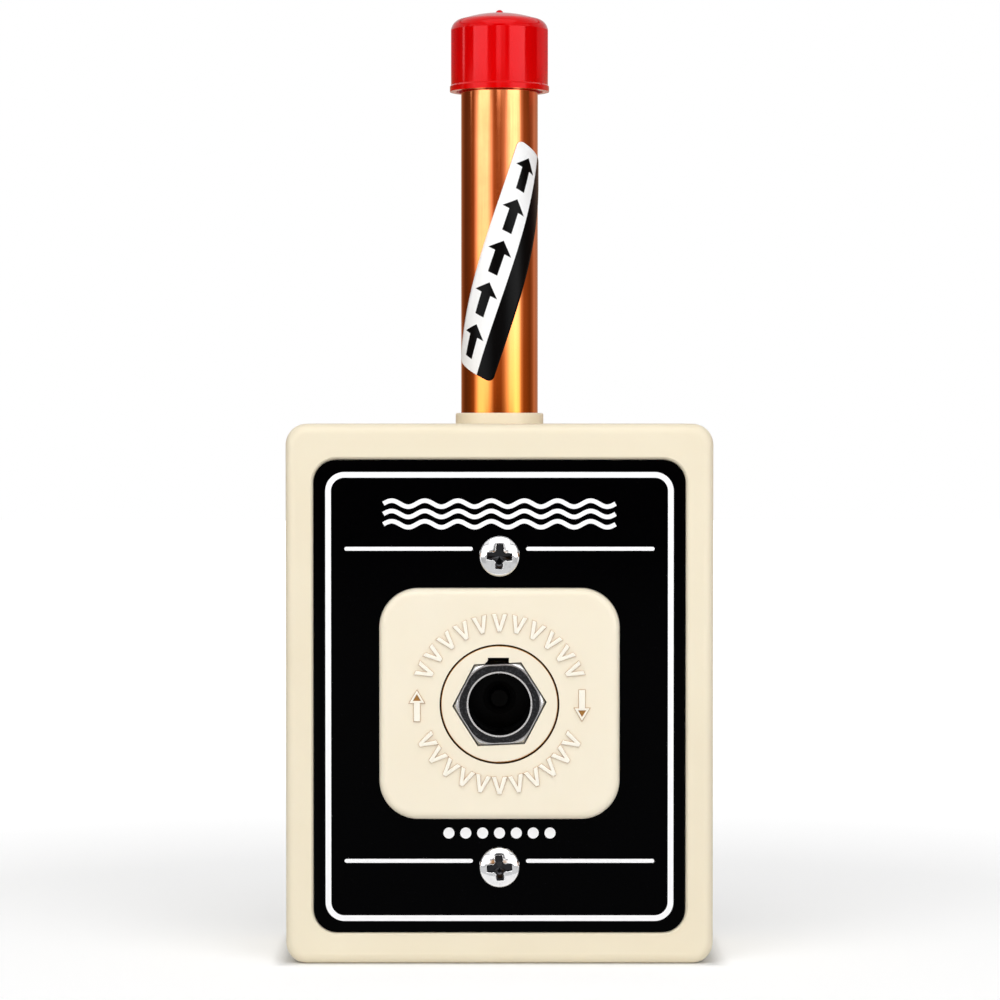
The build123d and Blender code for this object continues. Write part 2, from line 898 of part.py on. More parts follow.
def pipe_cap():
    """The push-on cap: slightly domed, with a gate nub, a thick rim and a flared mouth."""
    bore = pipe_radius + cap_bore_fit
    outside = Polyline(
        (cap_mouth, cap_bottom),
        (cap_rim, cap_bottom),
        (cap_rim, cap_bottom + cap_rim_height - cap_rim_slope),
        (cap_radius, cap_bottom + cap_rim_height),
        (cap_radius, cap_shoulder - cap_corner_low),
    )
    crown = (cap_radius - cap_corner, cap_top - cap_dome)
    shoulder = ThreePointArc(
        (cap_radius, cap_shoulder - cap_corner_low),
        (cap_radius - cap_corner / 4, cap_top - cap_dome - cap_corner_rise),
        crown,
    )
    dome = ThreePointArc(crown, (crown[0] / 2, cap_top - cap_dome / 4), (0, cap_top))
    inside = Polyline(
        (0, cap_top),
        (0, pipe_top + cap_top_gap),
        (bore, pipe_top + cap_top_gap),
        (bore, cap_bottom + cap_flare),
        (cap_mouth, cap_bottom),
    )
    face = make_face(Plane.XZ * (outside + shoulder + dome + inside))
    cap = Pos(0, pipe_y, 0) * revolve(face, Axis.Z)
    nub = Pos(0, pipe_y, nub_top - nub_radius) * Sphere(nub_radius)
    return cap + nub


def annular_sector(inner, outer, start, sweep):
    """Part of a ring, from an angle in degrees, as a face."""
    reach = 4 * outer
    spokes = [radians(start + sweep * quarter / 4) for quarter in range(5)]
    wedge = make_face(
        Polyline((0, 0), *[(reach * cos(a), reach * sin(a)) for a in spokes], close=True)
    )
    return ((Circle(outer) - Circle(inner)) & wedge).faces()[0]


def twisted(face, high, twist):
    """Push a face upwards while it turns about Z, so that its walls follow a helix."""
    return Solid.extrude_linear_with_rotation(face, (0, 0, 0), (0, 0, high), twist)


def pipe_label():
    """The label: a slanted strip of the pipe's own surface, cut square with rounded corners."""
    inner = pipe_radius + label_gap
    outer = inner + label_thick
    slant = radians(label_slant)
    drop = label_width / 2 * sin(slant)
    high = label_length * cos(slant) + 2 * drop
    twist = degrees(high * tan(slant) / pipe_radius)
    wide = degrees(label_width / cos(slant) / pipe_radius)
    label = twisted(annular_sector(inner, outer, -(wide + twist) / 2, wide), high, twist)
    label = Pos(0, 0, -high / 2) * label
    past = past_label_end(slant, drop)
    label -= past
    label -= Rot(180, 0, 0) * past
    for along in (-1, 1):
        for across in (-1, 1):
            label -= past_label_corner(along, across, slant)
    return Pos(0, pipe_y, label_z) * Rot(0, 0, label_turn - 90) * label


def past_label_end(slant, drop):
    """The room past the label's upper end, which turns the other way round the pipe."""
    high = 2 * (drop + label_corner)
    twist = -degrees(high / tan(slant) / pipe_radius)
    middle = degrees(label_length / 2 * sin(slant) / pipe_radius)
    face = annular_sector(
        pipe_radius - label_corner, pipe_radius + label_corner, middle - twist / 2, label_end_sweep
    )
    return Pos(0, 0, label_length / 2 * cos(slant) - high / 2) * twisted(face, high, twist)


def past_label_corner(along, across, slant):
    """The sliver between one square corner of the label and its rounded form."""
    u = along * label_length / 2
    v = across * label_width / 2
    angle = (u * sin(slant) + v * cos(slant)) / pipe_radius
    origin = Vector(
        (pipe_radius - label_corner) * cos(angle),
        (pipe_radius - label_corner) * sin(angle),
        u * cos(slant) - v * sin(slant),
    )
    tangent = Vector(-sin(angle), cos(angle), 0)
    lengthwise = tangent * sin(slant) + Vector(0, 0, cos(slant))
    outward = Vector(cos(angle), sin(angle), 0)
    plane = Plane(origin=origin, x_dir=lengthwise * -along, z_dir=outward)
    side = -along * across
    half = label_corner / 2
    square = Pos(half - label_corner / 4, side * (half - label_corner / 4)) * Rectangle(
        1.5 * label_corner, 1.5 * label_corner
    )
    corner = square - Pos(label_corner, side * label_corner) * Circle(label_corner)
    return extrude(plane * corner, amount=2 * label_corner)


def fascia_screw(z):
    """A pan-head screw with a cross recess."""
    head = rod(pan_head, plate_y - pan_height, plate_y, 0, z)
    rim = head.edges().filter_by(GeomType.CIRCLE).sort_by(Axis.Y)[0]
    head = fillet(rim, screw_dome)
    cross = Rectangle(cross_length, cross_width) + Rectangle(cross_width, cross_length)
    top = plate_y - pan_height
    head -= slab(Pos(0, z) * cross, top, top + cross_depth)
    return head + rod(m4_radius, plate_y, strap_y - thread_chamfer, 0, z)


def block_screw(x, z):
    """A rear screw with a hexagon key, which holds the back plate to the base block."""
    seat = wall_y - pan_height / 2
    end = wall_y - seat_gap
    screw = rod(pan_head, seat, end, x, z)
    screw = chamfer(screw.edges().filter_by(GeomType.CIRCLE).sort_by(Axis.Y)[-1], key_depth / 2)
    key = Pos(x, z) * RegularPolygon(block_screw_key / 2, 6, major_radius=False)
    screw -= slab(key, end - key_depth, end)
    return screw + rod(m4_radius, block_rear_y - block_screw_reach, seat, x, z)


def bezel_screw(x):
    """A small screw from behind the strap into the bezel."""
    screw = rod(bezel_screw_head, block_y, block_y + bezel_screw_thick, x, socket_z)
    return screw + rod(m3_radius, strap_y - bezel_screw_reach, block_y, x, socket_z)


def build():
    """Every sub-part by its node name."""
    top, bottom = fascia_screw_levels()
    parts = {
        "box_cover": box_cover(),
        "back_plate": back_plate(),
        "fascia_plate": fascia_plate(),
        "socket_bezel": bezel(),
        "release_ring": release_ring(),
        "lock_sleeve": lock_sleeve(),
        "release_spring": coil(
            release_wire, release_coil, release_turns, ring_rear_y, flange_y
        ),
        "socket_body": socket_body(),
        "index_collar": index_collar(),
        "bore_liner": bore_liner(),
        "probe_seal": seal_ring(
            probe_seal_inner, probe_seal_inner + 2 * probe_seal_section, probe_seal_y()
        ),
        "body_seal": seal_ring(
            tail_radius + pipe_fit - 2 * tail_seal_section, tail_radius + pipe_fit, body_seal_y()
        ),
        "check_poppet": check_poppet(),
        "poppet_seal": poppet_seal(),
        "check_spring": check_spring(),
        "spring_retainer": spring_retainer(),
        "retainer_clip": retainer_clip(),
        "fixing_strap": fixing_strap(),
        "clinch_nut_top": clinch_nut(top),
        "clinch_nut_bottom": clinch_nut(bottom),
        "base_block": base_block(),
        "isolating_poppet": isolating_poppet(),
        "isolator_spring": isolator_spring(),
        "chamber_plug": chamber_plug(),
        "copper_pipe": copper_pipe(),
        "pipe_collar": pipe_collar(),
        "pipe_cap": pipe_cap(),
        "pipe_label": pipe_label(),
        "fascia_screw_top": fascia_screw(top),
        "fascia_screw_bottom": fascia_screw(bottom),
        "bezel_screw_left": bezel_screw(-bezel_screw_x),
        "bezel_screw_right": bezel_screw(bezel_screw_x),
    }
    for index in range(ball_count):
        parts[f"latch_ball_{index + 1}"] = latch_ball(index)
    for index, (x, z) in enumerate(block_screw_places()):
        parts[f"block_screw_{index + 1}"] = block_screw(x, z)
    return parts


os.makedirs("parts", exist_ok=True)
for name, shape in build().items():
    export_step(shape, f"parts/{name}.step")
    print(name, round(shape.volume, 1))
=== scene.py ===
from math import cos, pi, radians, sin, sqrt

import bmesh
import bpy
from mathutils import Matrix, Vector


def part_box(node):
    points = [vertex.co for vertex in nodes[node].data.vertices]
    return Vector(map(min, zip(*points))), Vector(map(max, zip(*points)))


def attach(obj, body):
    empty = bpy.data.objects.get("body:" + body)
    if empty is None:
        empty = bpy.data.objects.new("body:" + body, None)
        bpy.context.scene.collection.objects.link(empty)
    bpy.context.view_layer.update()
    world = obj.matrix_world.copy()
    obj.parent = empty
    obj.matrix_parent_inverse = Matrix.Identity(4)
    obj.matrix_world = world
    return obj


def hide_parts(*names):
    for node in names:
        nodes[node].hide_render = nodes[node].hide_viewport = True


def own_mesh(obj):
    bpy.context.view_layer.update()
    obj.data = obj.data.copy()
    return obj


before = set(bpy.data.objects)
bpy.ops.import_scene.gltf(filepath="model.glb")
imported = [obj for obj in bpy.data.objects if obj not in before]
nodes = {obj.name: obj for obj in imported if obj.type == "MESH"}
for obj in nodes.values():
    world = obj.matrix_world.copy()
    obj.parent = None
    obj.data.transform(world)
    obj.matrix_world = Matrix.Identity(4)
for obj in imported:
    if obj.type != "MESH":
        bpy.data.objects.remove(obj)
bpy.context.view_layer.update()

mm = 0.001
scene = bpy.context.scene
print("frame loaded:", len(nodes), "nodes")

# places read from the frame
plateLow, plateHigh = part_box("fascia_plate")
bezelLow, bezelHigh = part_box("socket_bezel")
ringLow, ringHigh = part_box("release_ring")
pipeLow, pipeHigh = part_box("copper_pipe")
labelLow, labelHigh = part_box("pipe_label")
socketX = (ringLow.x + ringHigh.x) / 2
socketZ = (ringLow.z + ringHigh.z) / 2
pipeX = (pipeLow.x + pipeHigh.x) / 2
pipeY = (pipeLow.y + pipeHigh.y) / 2
pipeRadius = (pipeHigh.x - pipeLow.x) / 2
plateZ = (plateLow.z + plateHigh.z) / 2


# node trees

class Sig:
    # one socket of a node tree, so that maths on it reads as an expression
    def __init__(self, tree, socket):
        self.tree = tree
        self.socket = socket

    def beside(self, out):
        # another output of the same node
        return Sig(self.tree, self.socket.node.outputs[out])

    def math(self, operation, *others):
        return self.joined(operation, self, *others)

    def joined(self, operation, *values):
        node = self.tree.nodes.new("ShaderNodeMath")
        node.operation = operation
        for index, value in enumerate(values):
            feed(self.tree, value, node.inputs[index])
        return Sig(self.tree, node.outputs[0])

    def __add__(self, other):
        return self.joined("ADD", self, other)

    def __radd__(self, other):
        return self.joined("ADD", other, self)

    def __sub__(self, other):
        return self.joined("SUBTRACT", self, other)

    def __rsub__(self, other):
        return self.joined("SUBTRACT", other, self)

    def __mul__(self, other):
        return self.joined("MULTIPLY", self, other)

    def __rmul__(self, other):
        return self.joined("MULTIPLY", other, self)

    def __truediv__(self, other):
        return self.joined("DIVIDE", self, other)

    def __rtruediv__(self, other):
        return self.joined("DIVIDE", other, self)

    def __pow__(self, other):
        return self.joined("POWER", self, other)

    def __rpow__(self, other):
        return self.joined("POWER", other, self)

    def __neg__(self):
        return self * -1.0

    def __abs__(self):
        return self.math("ABSOLUTE")

    def clamped(self):
        return self.math("MAXIMUM", 0.0).math("MINIMUM", 1.0)

    def above(self, edge, soft):
        # 0 below the edge, 1 above it, with a soft step
        return ((self - (edge - soft)) / (2 * soft)).clamped()

    def below(self, edge, soft):
        return 1 - self.above(edge, soft)


def feed(tree, value, socket):
    if isinstance(value, Sig):
        tree.links.new(value.socket, socket)
    else:
        socket.default_value = value


class Tree:
    # a node tree being built
    def __init__(self, tree):
        self.tree = tree

    def node(self, kind, settings=None, inputs=None, out=0):
        made = self.tree.nodes.new(kind)
        for key, value in (settings or {}).items():
            if key == "stops":
                fillRamp(made.color_ramp, value)
            else:
                setattr(made, key, value)
        for key, value in (inputs or {}).items():
            feed(self.tree, value, made.inputs[key])
        return Sig(self.tree, made.outputs[out]) if made.outputs else None

    def seen(self):
        # 1 for a ray that ends in the picture, straight or by way of a shiny piece
        path = self.node("ShaderNodeLightPath", out="Is Camera Ray")
        reflected = path.math("MAXIMUM", path.beside("Is Glossy Ray"))
        return reflected.math("MAXIMUM", path.beside("Is Transmission Ray"))


class Finish(Tree):
    # a material being built
    def __init__(self, name):
        self.material = bpy.data.materials.new(name)
        self.material.use_nodes = True
        super().__init__(self.material.node_tree)
        self.tree.nodes.clear()
        self.coords = None

    def place(self):
        if self.coords is None:
            self.coords = self.node("ShaderNodeTexCoord", out="Object")
        return self.coords

    def axes(self, source=None):
        split = self.node("ShaderNodeSeparateXYZ", inputs={0: source or self.place()})
        return [split.beside(index) for index in range(3)]

    def fromSocket(self):
        # how far a point is from the socket's axis
        x, y, z = self.axes()
        return ((x - socketX) ** 2.0 + (z - socketZ) ** 2.0) ** 0.5

    def noise(self, scale, detail=3.0, rough=0.5):
        inputs = {"Vector": self.place(), "Scale": scale, "Detail": detail, "Roughness": rough}
        return self.node("ShaderNodeTexNoise", inputs=inputs)

    def flatNoise(self, across, along, scale, detail, rough=0.5):
        # noise on two chosen measures of the surface
        spread = self.node("ShaderNodeCombineXYZ", inputs={0: across, 1: along})
        inputs = {"Vector": spread, "Scale": scale, "Detail": detail, "Roughness": rough}
        return self.node("ShaderNodeTexNoise", {"noise_dimensions": "2D"}, inputs)

    def mixColor(self, share, first, second):
        inputs = {"Factor": share, 6: first, 7: second}
        return self.node("ShaderNodeMix", {"data_type": "RGBA"}, inputs, out=2)

    def bump(self, height, strength=0.3, distance=0.0002):
        inputs = {"Height": height, "Strength": strength, "Distance": distance}
        return self.node("ShaderNodeBump", inputs=inputs)

    def scaled(self, color, share):
        return self.node("ShaderNodeVectorMath", {"operation": "SCALE"}, {0: color, "Scale": share})

    def set(self, **values):
        # the material is the Principled shader with these values
        sockets = {socketNames[name]: value for name, value in values.items()}
        return self.show(self.node("ShaderNodeBsdfPrincipled", inputs=sockets))

    def show(self, shader):
        self.node("ShaderNodeOutputMaterial", inputs={"Surface": shader})
        return self.material


socketNames = {
    "color": "Base Color",
    "rough": "Roughness",
    "metal": "Metallic",
    "ior": "IOR",
    "specular": "Specular IOR Level",
    "specularTint": "Specular Tint",
    "normal": "Normal",
    "subsurface": "Subsurface Weight",
    "subsurfaceRadius": "Subsurface Radius",
    "subsurfaceScale": "Subsurface Scale",
}


def fillRamp(ramp, stops):
    while len(ramp.elements) > 1:
        ramp.elements.remove(ramp.elements[0])
    for index, (position, color) in enumerate(stops):
        element = ramp.elements[0] if index == 0 else ramp.elements.new(position)
        element.position = position
        element.color = color


def linear(red, green, blue):
    # a colour as seen on a screen, 0 to 255, in the renderer's own terms
    out = []
    for value in (red, green, blue):
        share = value / 255
        out.append(share / 12.92 if share <= 0.04045 else ((share + 0.055) / 1.055) ** 2.4)
    return (*out, 1.0)


# materials

def mouldedPlastic(name, look):
    # satin mouldings: faint mottling, a fine eggshell grain and a soft gloss
    finish = Finish(name)
    broad = finish.noise(look["mottleScale"], 2.0)
    fine = finish.noise(look["grainScale"], 4.0, 0.6)
    color = finish.mixColor(broad.above(0.5, 0.22), look["color"], look["shade"])
    rough = fine * look["roughSpread"] + look["rough"]
    if "gapFrom" in look:
        # painted shade: the gap round the release ring gets a brown lip and a near-black floor, where
        # shade falls between the parts
        away = finish.fromSocket() / mm
        inGap = away.above(look["gapFrom"] / mm, 0.03) * away.below(look["gapTo"] / mm, 0.03)
        depth = finish.axes()[1] / mm - ringLow.y / mm
        edge = inGap * depth.above(look["gapLipShadeStart"] / mm, 0.03)
        gapShade = inGap * depth.above(look["gapShadeStart"] / mm, 0.08)
        color = finish.mixColor(edge, color, look["gapLipShadeColor"])
        color = finish.mixColor(gapShade, color, look["gapShadeColor"])
        rough = rough + gapShade * look["gapRough"]
    if "wallShadeColor" in look:
        # painted shade and highlight: the sides of the raised marks are painted tan as shade, and their
        # tops are pale as if lit
        wall = (finish.axes()[1] / mm).above((bezelLow.y - look["wallShadeTop"]) / mm, 0.05)
        color = finish.mixColor(wall, color, look["wallShadeColor"])
    normal = finish.bump(fine, look["grain"], 0.00004)
    return finish.set(
        color=color, rough=rough, normal=normal, ior=1.5, specular=look["specular"],
        subsurface=0.06, subsurfaceRadius=(1.0, 0.7, 0.45), subsurfaceScale=0.0012,
    )


creamLook = {
    "color": linear(240, 229, 203),
    "shade": linear(237, 225, 198),
    "mottleScale": 45.0,
    "grainScale": 2600.0,
    "rough": 0.3,
    "roughSpread": 0.14,
    "grain": 0.12,
    "specular": 0.3,
}
bezelLook = dict(
    creamLook,
    color=linear(245, 235, 213),
    shade=linear(243, 232, 208),
    rough=0.26,
    # painted shade in the ring's gap: its radii, a brown lip and a near-black floor
    gapFrom=10.84 * mm,
    gapTo=11.5 * mm,
    gapLipShadeStart=0.05 * mm,
    gapLipShadeColor=linear(206, 140, 58),
    gapShadeStart=0.22 * mm,
    gapShadeColor=(0.06, 0.02, 0.003, 1),
    gapRough=0.6,
)
# painted highlight: the marks' cream is paler than the bezel's, as light on their tops; their sides
# take a painted tan shade
markLitShadedLook = dict(
    creamLook,
    color=linear(252, 246, 231),
    shade=linear(250, 243, 226),
    rough=0.26,
    wallShadeTop=0.28 * mm,
    wallShadeColor=linear(176, 124, 52),
)
rawLook = dict(creamLook, rough=0.42, grain=0.2)


def laminate():
    # near-black plate with a very slight orange peel
    finish = Finish("blackLaminate")
    peel = finish.noise(900.0, 2.0)
    dust = finish.noise(5200.0, 1.0).above(0.73, 0.03)
    color = finish.mixColor(dust, (0.0003, 0.0003, 0.0005, 1), (0.002, 0.002, 0.0025, 1))
    return finish.set(
        color=color, rough=0.08 + peel * 0.08, normal=finish.bump(peel, 0.05, 0.00005),
        specular=0.025,
    )


def printInk():
    finish = Finish("whiteInk")
    speck = finish.noise(3800.0, 3.0)
    color = finish.mixColor(speck, linear(245, 245, 246), linear(250, 250, 250))
    return finish.set(color=color, rough=0.5 + speck * 0.12, normal=finish.bump(speck, 0.1, 0.00002))


# painted shade: within this radius of the socket's axis the steel is painted near-black, as shade in
# the bore
boreShadeRadius = 7.15 * mm
boreShadeColor = (0.001, 0.001, 0.0012, 1)


def turnedSteel(name, color, rough, ringScale):
    # lathe marks run round the socket's axis; painted shade turns the steel near-black inside the bore
    finish = Finish(name)
    x, y, z = finish.axes()
    away = finish.fromSocket()
    marks = finish.flatNoise(away, y, ringScale, 3.0)
    stain = finish.noise(320.0, 3.0)
    tone = finish.mixColor(stain.above(0.56, 0.12), color, dimmed(color, 0.82))
    # painted shade: near-black and not metal inside the bore
    bore = away.below(boreShadeRadius, 0.05 * mm)
    return finish.set(
        color=finish.mixColor(bore, tone, boreShadeColor), metal=1 - bore, rough=marks * 0.14 + rough,
        specular=0.06, normal=finish.bump(marks, 0.25, 0.00003),
    )


def dimmed(color, share):
    return (*(part * share for part in color[:3]), 1.0)


def castBlack():
    # grained black with pale specks where the grain stands up
    finish = Finish("grainedBlack")
    grain = finish.noise(2600.0, 5.0, 0.65)
    pits = finish.node("ShaderNodeTexVoronoi", inputs={"Vector": finish.place(), "Scale": 2400.0})
    color = finish.mixColor(grain.above(0.6, 0.1), (0.006, 0.006, 0.007, 1), (0.05, 0.05, 0.056, 1))
    return finish.set(
        color=color, rough=0.4 + grain * 0.2, normal=finish.bump(grain + pits * 0.4, 0.6, 0.0001),
        specular=0.15,
    )


def shadedBore():
    # the liner: a bright machined lip in front, and behind it a near-black bore of painted shade
    finish = Finish("shadedBore")
    x, y, z = finish.axes()
    # painted shade: deeper than the lip the liner is painted near-black
    inside = (y / mm).above(ringLow.y / mm - 0.25, 0.04)
    color = finish.mixColor(inside, (0.86, 0.87, 0.88, 1), boreShadeColor)
    stain = finish.noise(700.0)
    rough = inside * 0.25 + stain * 0.1 + 0.22
    return finish.set(color=color, metal=1 - inside, rough=rough, specular=0.06)


def copperTube(look):
    # drawn copper: lengthwise die lines, warm tarnish clouds, more golden low down
    finish = Finish("drawnCopper")
    x, y, z = finish.axes()
    around = (x - pipeX).math("ARCTAN2", -(y - pipeY))
    around, along = around * look["lineAround"], z * look["lineAlong"]
    lines = finish.flatNoise(around, along, look["lineScale"], 4.0, 0.65)
    clouds = finish.noise(look["cloudScale"], 4.0, 0.6)
    warm = finish.node(
        "ShaderNodeValToRGB",
        {"stops": [(0.25, look["dark"]), (0.5, look["mid"]), (0.75, look["bright"])]},
        {"Fac": clouds * 0.55 + lines * 0.45},
    )
    low = (z / mm).below(look["goldenTop"] / mm, look["goldenSoft"] / mm)
    return finish.set(
        color=finish.mixColor(low, warm, look["golden"]), metal=1.0,
        rough=lines * 0.06 + clouds * 0.03 + 0.035, normal=finish.bump(lines, 0.04, 0.00003),
    )


copperLook = {
    "dark": (0.6, 0.15, 0.05, 1),
    "mid": (0.72, 0.225, 0.088, 1),
    "bright": (0.8, 0.29, 0.13, 1),
    "golden": (0.7, 0.205, 0.034, 1),
    "goldenTop": 122.0 * mm,
    "goldenSoft": 24.0 * mm,
    "lineAround": 7.5,
    "lineAlong": 6.0,
    "lineScale": 9.0,
    "cloudScale": 70.0,
}


def redPlastic():
    finish = Finish("redPlastic")
    flow = finish.noise(60.0, 2.0)
    fine = finish.noise(1500.0, 2.0)
    color = finish.mixColor(flow.above(0.5, 0.2), linear(222, 0, 2), linear(208, 0, 2))
    return finish.set(
        color=color, rough=0.045 + fine * 0.03, normal=finish.bump(fine, 0.02, 0.00003),
        specular=0.5, specularTint=(1.0, 0.15, 0.17, 1),
    )


def labelFilm(look):
    # white film with a black stripe along one side and black flow arrows
    finish = Finish("labelFilm")
    uv = finish.node("ShaderNodeUVMap", {"uv_map": "flat"})
    along, across, _ = finish.axes(uv)
    along = along * look["length"] / mm
    across = across * look["width"] / mm
    stripe = across.above(look["stripeFrom"] / mm, 0.04)
    pitch = look["arrowPitch"] / mm
    step = (along - look["firstArrow"] / mm) / pitch
    local = (step - step.math("FLOOR")) * pitch
    middle = abs(across - look["arrowMiddle"] / mm)
    half = look["arrowHalf"] / mm
    tip = look["headEnd"] / mm
    head = (middle + (local - tip)).below(0.0, 0.05)
    head = head * local.above(tip - half, 0.05) * middle.below(half, 0.05)
    shaft = local.above(look["shaftStart"] / mm, 0.05) * local.below(tip - half + 0.1, 0.05)
    shaft = shaft * middle.below(look["shaftHalf"] / mm, 0.05)
    inSpan = step.above(0.0, 0.01) * step.below(look["arrowCount"], 0.01)
    ink = (stripe + (head + shaft) * inSpan).clamped()
    fine = finish.noise(1800.0, 2.0)
    color = finish.mixColor(ink, linear(252, 252, 251), (0.0008, 0.0008, 0.001, 1))
    normal = finish.bump(fine, 0.03, 0.00003)
    return finish.set(color=color, rough=fine * 0.1 + 0.2, normal=normal, specular=0.06)


labelLook = {
    "length": 45.0 * mm,
    "width": 9.7 * mm,
    "slant": radians(18.7),
    "endSlant": radians(28.4),
    "turn": radians(9.1),
    "lower": -0.35 * mm,
    "corner": 1.3 * mm,
    "lift": 0.05 * mm,
    "thick": 0.09 * mm,
    "stripeFrom": 6.3 * mm,
    "arrowCount": 5,
    "firstArrow": 1.3 * mm,
    "arrowPitch": 8.5 * mm,
    "arrowMiddle": 3.3 * mm,
    "arrowHalf": 2.35 * mm,
    "headEnd": 7.6 * mm,
    "shaftStart": 0.9 * mm,
    "shaftHalf": 0.95 * mm,
    "rows": 132,
    "columns": 24,
}


def brightPlate():
    # bright plating on the screws: near mirror, with a few fine marks, and painted shade making the
    # cross recess dark
    finish = Finish("brightPlate")
    marks = finish.noise(1400.0, 4.0, 0.6)
    color = finish.mixColor(marks.above(0.62, 0.1), (0.84, 0.84, 0.85, 1), (0.7, 0.7, 0.72, 1))
    crossShade = finish.node("ShaderNodeAttribute", {"attribute_name": "crossShade"}, out="Fac")
    color = finish.mixColor(crossShade.above(0.4, 0.18), color, (0.035, 0.035, 0.038, 1))
    normal = finish.bump(marks, 0.04, 0.00004)
    return finish.set(color=color, metal=1.0, rough=marks * 0.08 + 0.05, normal=normal)


def plainMetal(name, color, rough):
    finish = Finish(name)
    stain = finish.noise(240.0, 4.0)
    tone = finish.mixColor(stain, color, dimmed(color, 0.8))
    normal = finish.bump(stain, 0.1, 0.00005)
    return finish.set(color=tone, metal=1.0, rough=stain * 0.12 + rough, normal=normal)


def sealRubber():
    finish = Finish("sealRubber")
    fine = finish.noise(900.0)
    color = finish.mixColor(fine, (0.002, 0.002, 0.002, 1), (0.006, 0.006, 0.006, 1))
    return finish.set(color=color, rough=0.6 + fine * 0.15, specular=0.15)


def blackAcetal():
    finish = Finish("blackAcetal")
    fine = finish.noise(1100.0)
    color = finish.mixColor(fine, (0.001, 0.001, 0.0012, 1), (0.003, 0.003, 0.0034, 1))
    return finish.set(color=color, rough=0.35 + fine * 0.15, specular=0.08)


materials = {
    "cream": mouldedPlastic("creamPlastic", creamLook),
    "bezel": mouldedPlastic("bezelPlastic", bezelLook),
    "backing": mouldedPlastic("backPlastic", rawLook),
    "marks": mouldedPlastic("markLitShaded", markLitShadedLook),
    "laminate": laminate(),
    "ink": printInk(),
    "hexSteel": turnedSteel("nickelSteel", (0.68, 0.68, 0.69, 1), 0.16, 9000.0),
    "innerSteel": turnedSteel("plainSteel", (0.5, 0.5, 0.52, 1), 0.25, 7000.0),
    "blackCollar": castBlack(),
    "bore": shadedBore(),
    "copper": copperTube(copperLook),
    "red": redPlastic(),
    "label": labelFilm(labelLook),
    "screw": brightPlate(),
    "zinc": plainMetal("zincPlate", (0.62, 0.64, 0.68, 1), 0.3),
    "brass": plainMetal("machinedBrass", (0.78, 0.58, 0.26, 1), 0.22),
    "rubber": sealRubber(),
    "acetal": blackAcetal(),
}
nodeFinish = {
    "box_cover": "cream",
    "back_plate": "backing",
    "fascia_plate": "laminate",
    "socket_bezel": "bezel",
    "release_ring": "bezel",
    "lock_sleeve": "innerSteel",
    "release_spring": "innerSteel",
    "socket_body": "hexSteel",
    "index_collar": "blackCollar",
    "bore_liner": "bore",
    "check_spring": "innerSteel",
    "isolator_spring": "innerSteel",
    "fixing_strap": "zinc",
    "copper_pipe": "copper",
    "pipe_collar": "cream",
    "pipe_cap": "red",
    "pipe_label": "label",
    "check_poppet": "acetal",
}
wordFinish = [
    ("seal", "rubber"),
    ("screw", "zinc"),
    ("nut", "zinc"),
    ("ball", "innerSteel"),
    ("clip", "innerSteel"),
]


def paintNodes():
    for name, node in nodes.items():
        key = nodeFinish.get(name)
        if key is None:
            key = next((finish for word, finish in wordFinish if word in name), "brass")
        node.data.materials.clear()
        node.data.materials.append(materials[key])


paintNodes()
print("materials made:", len(materials))


# mesh helpers

def meshPiece(name, mesh, material, body="outlet"):
    piece = bpy.data.objects.new(name, mesh)
    scene.collection.objects.link(piece)
    if not mesh.materials:
        mesh.materials.append(materials[material])
    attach(piece, body)
    return piece


def circlePoints(radius, angles, middle=(0, 0)):
    return [(middle[0] + radius * cos(angle), middle[1] + radius * sin(angle)) for angle in angles]


def roundedLoop(width, height, radius, steps=14):
    # corner points of a rounded rectangle about its middle, counter-clockwise in X and Z
    points = []
    for corner, (signX, signZ) in enumerate(((1, 1), (-1, 1), (-1, -1), (1, -1))):
        middle = (signX * (width / 2 - radius), signZ * (height / 2 - radius))
        angles = [pi / 2 * (corner + step / steps) for step in range(steps + 1)]
        points += circlePoints(radius, angles, middle)
    return points


def pushedOut(mesh, back):
    # gives the front faces a depth
    pushed = bmesh.ops.extrude_face_region(mesh, geom=list(mesh.faces))
    for item in pushed["geom"]:
        if isinstance(item, bmesh.types.BMVert):
            item.co.y = back


def raisedFace(outer, inner, place, front, back, bevel=0.0, segments=2):
    # an outline in X and Z, with or without a hole of as many points, pushed out to the front
    mesh = bmesh.new()
    ring = [mesh.verts.new((place[0] + x, front, place[1] + z)) for x, z in outer]
    if inner:
        hole = [mesh.verts.new((place[0] + x, front, place[1] + z)) for x, z in inner]
        count = len(ring)
        for index in range(count):
            after = (index + 1) % count
            mesh.faces.new((ring[index], ring[after], hole[after], hole[index]))
    else:
        mesh.faces.new(ring)
    rims = [edge for edge in mesh.edges if edge.is_boundary]
    pushedOut(mesh, back)
    if bevel > 0:
        lip = [edge for edge in rims if all(abs(vert.co.y - front) < 1e-9 for vert in edge.verts)]
        bmesh.ops.bevel(mesh, geom=lip, offset=bevel, segments=segments, profile=0.5, affect="EDGES")
    bmesh.ops.recalc_face_normals(mesh, faces=mesh.faces)
    return mesh


def raisedStrip(lower, upper, place, front, back):
    # a strip between two lines of points, pushed out to the front
    mesh = bmesh.new()
    low = [mesh.verts.new((place[0] + x, front, place[1] + z)) for x, z in lower]
    high = [mesh.verts.new((place[0] + x, front, place[1] + z)) for x, z in upper]
    for index in range(len(low) - 1):
        mesh.faces.new((low[index], low[index + 1], high[index + 1], high[index]))
    pushedOut(mesh, back)
    bmesh.ops.recalc_face_normals(mesh, faces=mesh.faces)
    return mesh


def joinedMesh(name, parts, smooth=False):
    # several small bmeshes as one mesh
    whole = bmesh.new()
    for part in parts:
        scratch = bpy.data.meshes.new("scratch")
        part.to_mesh(scratch)
        part.free()
        whole.from_mesh(scratch)
        bpy.data.meshes.remove(scratch)
    mesh = bpy.data.meshes.new(name)
    whole.to_mesh(mesh)
    whole.free()
    for polygon in mesh.polygons:
        polygon.use_smooth = smooth
    return mesh


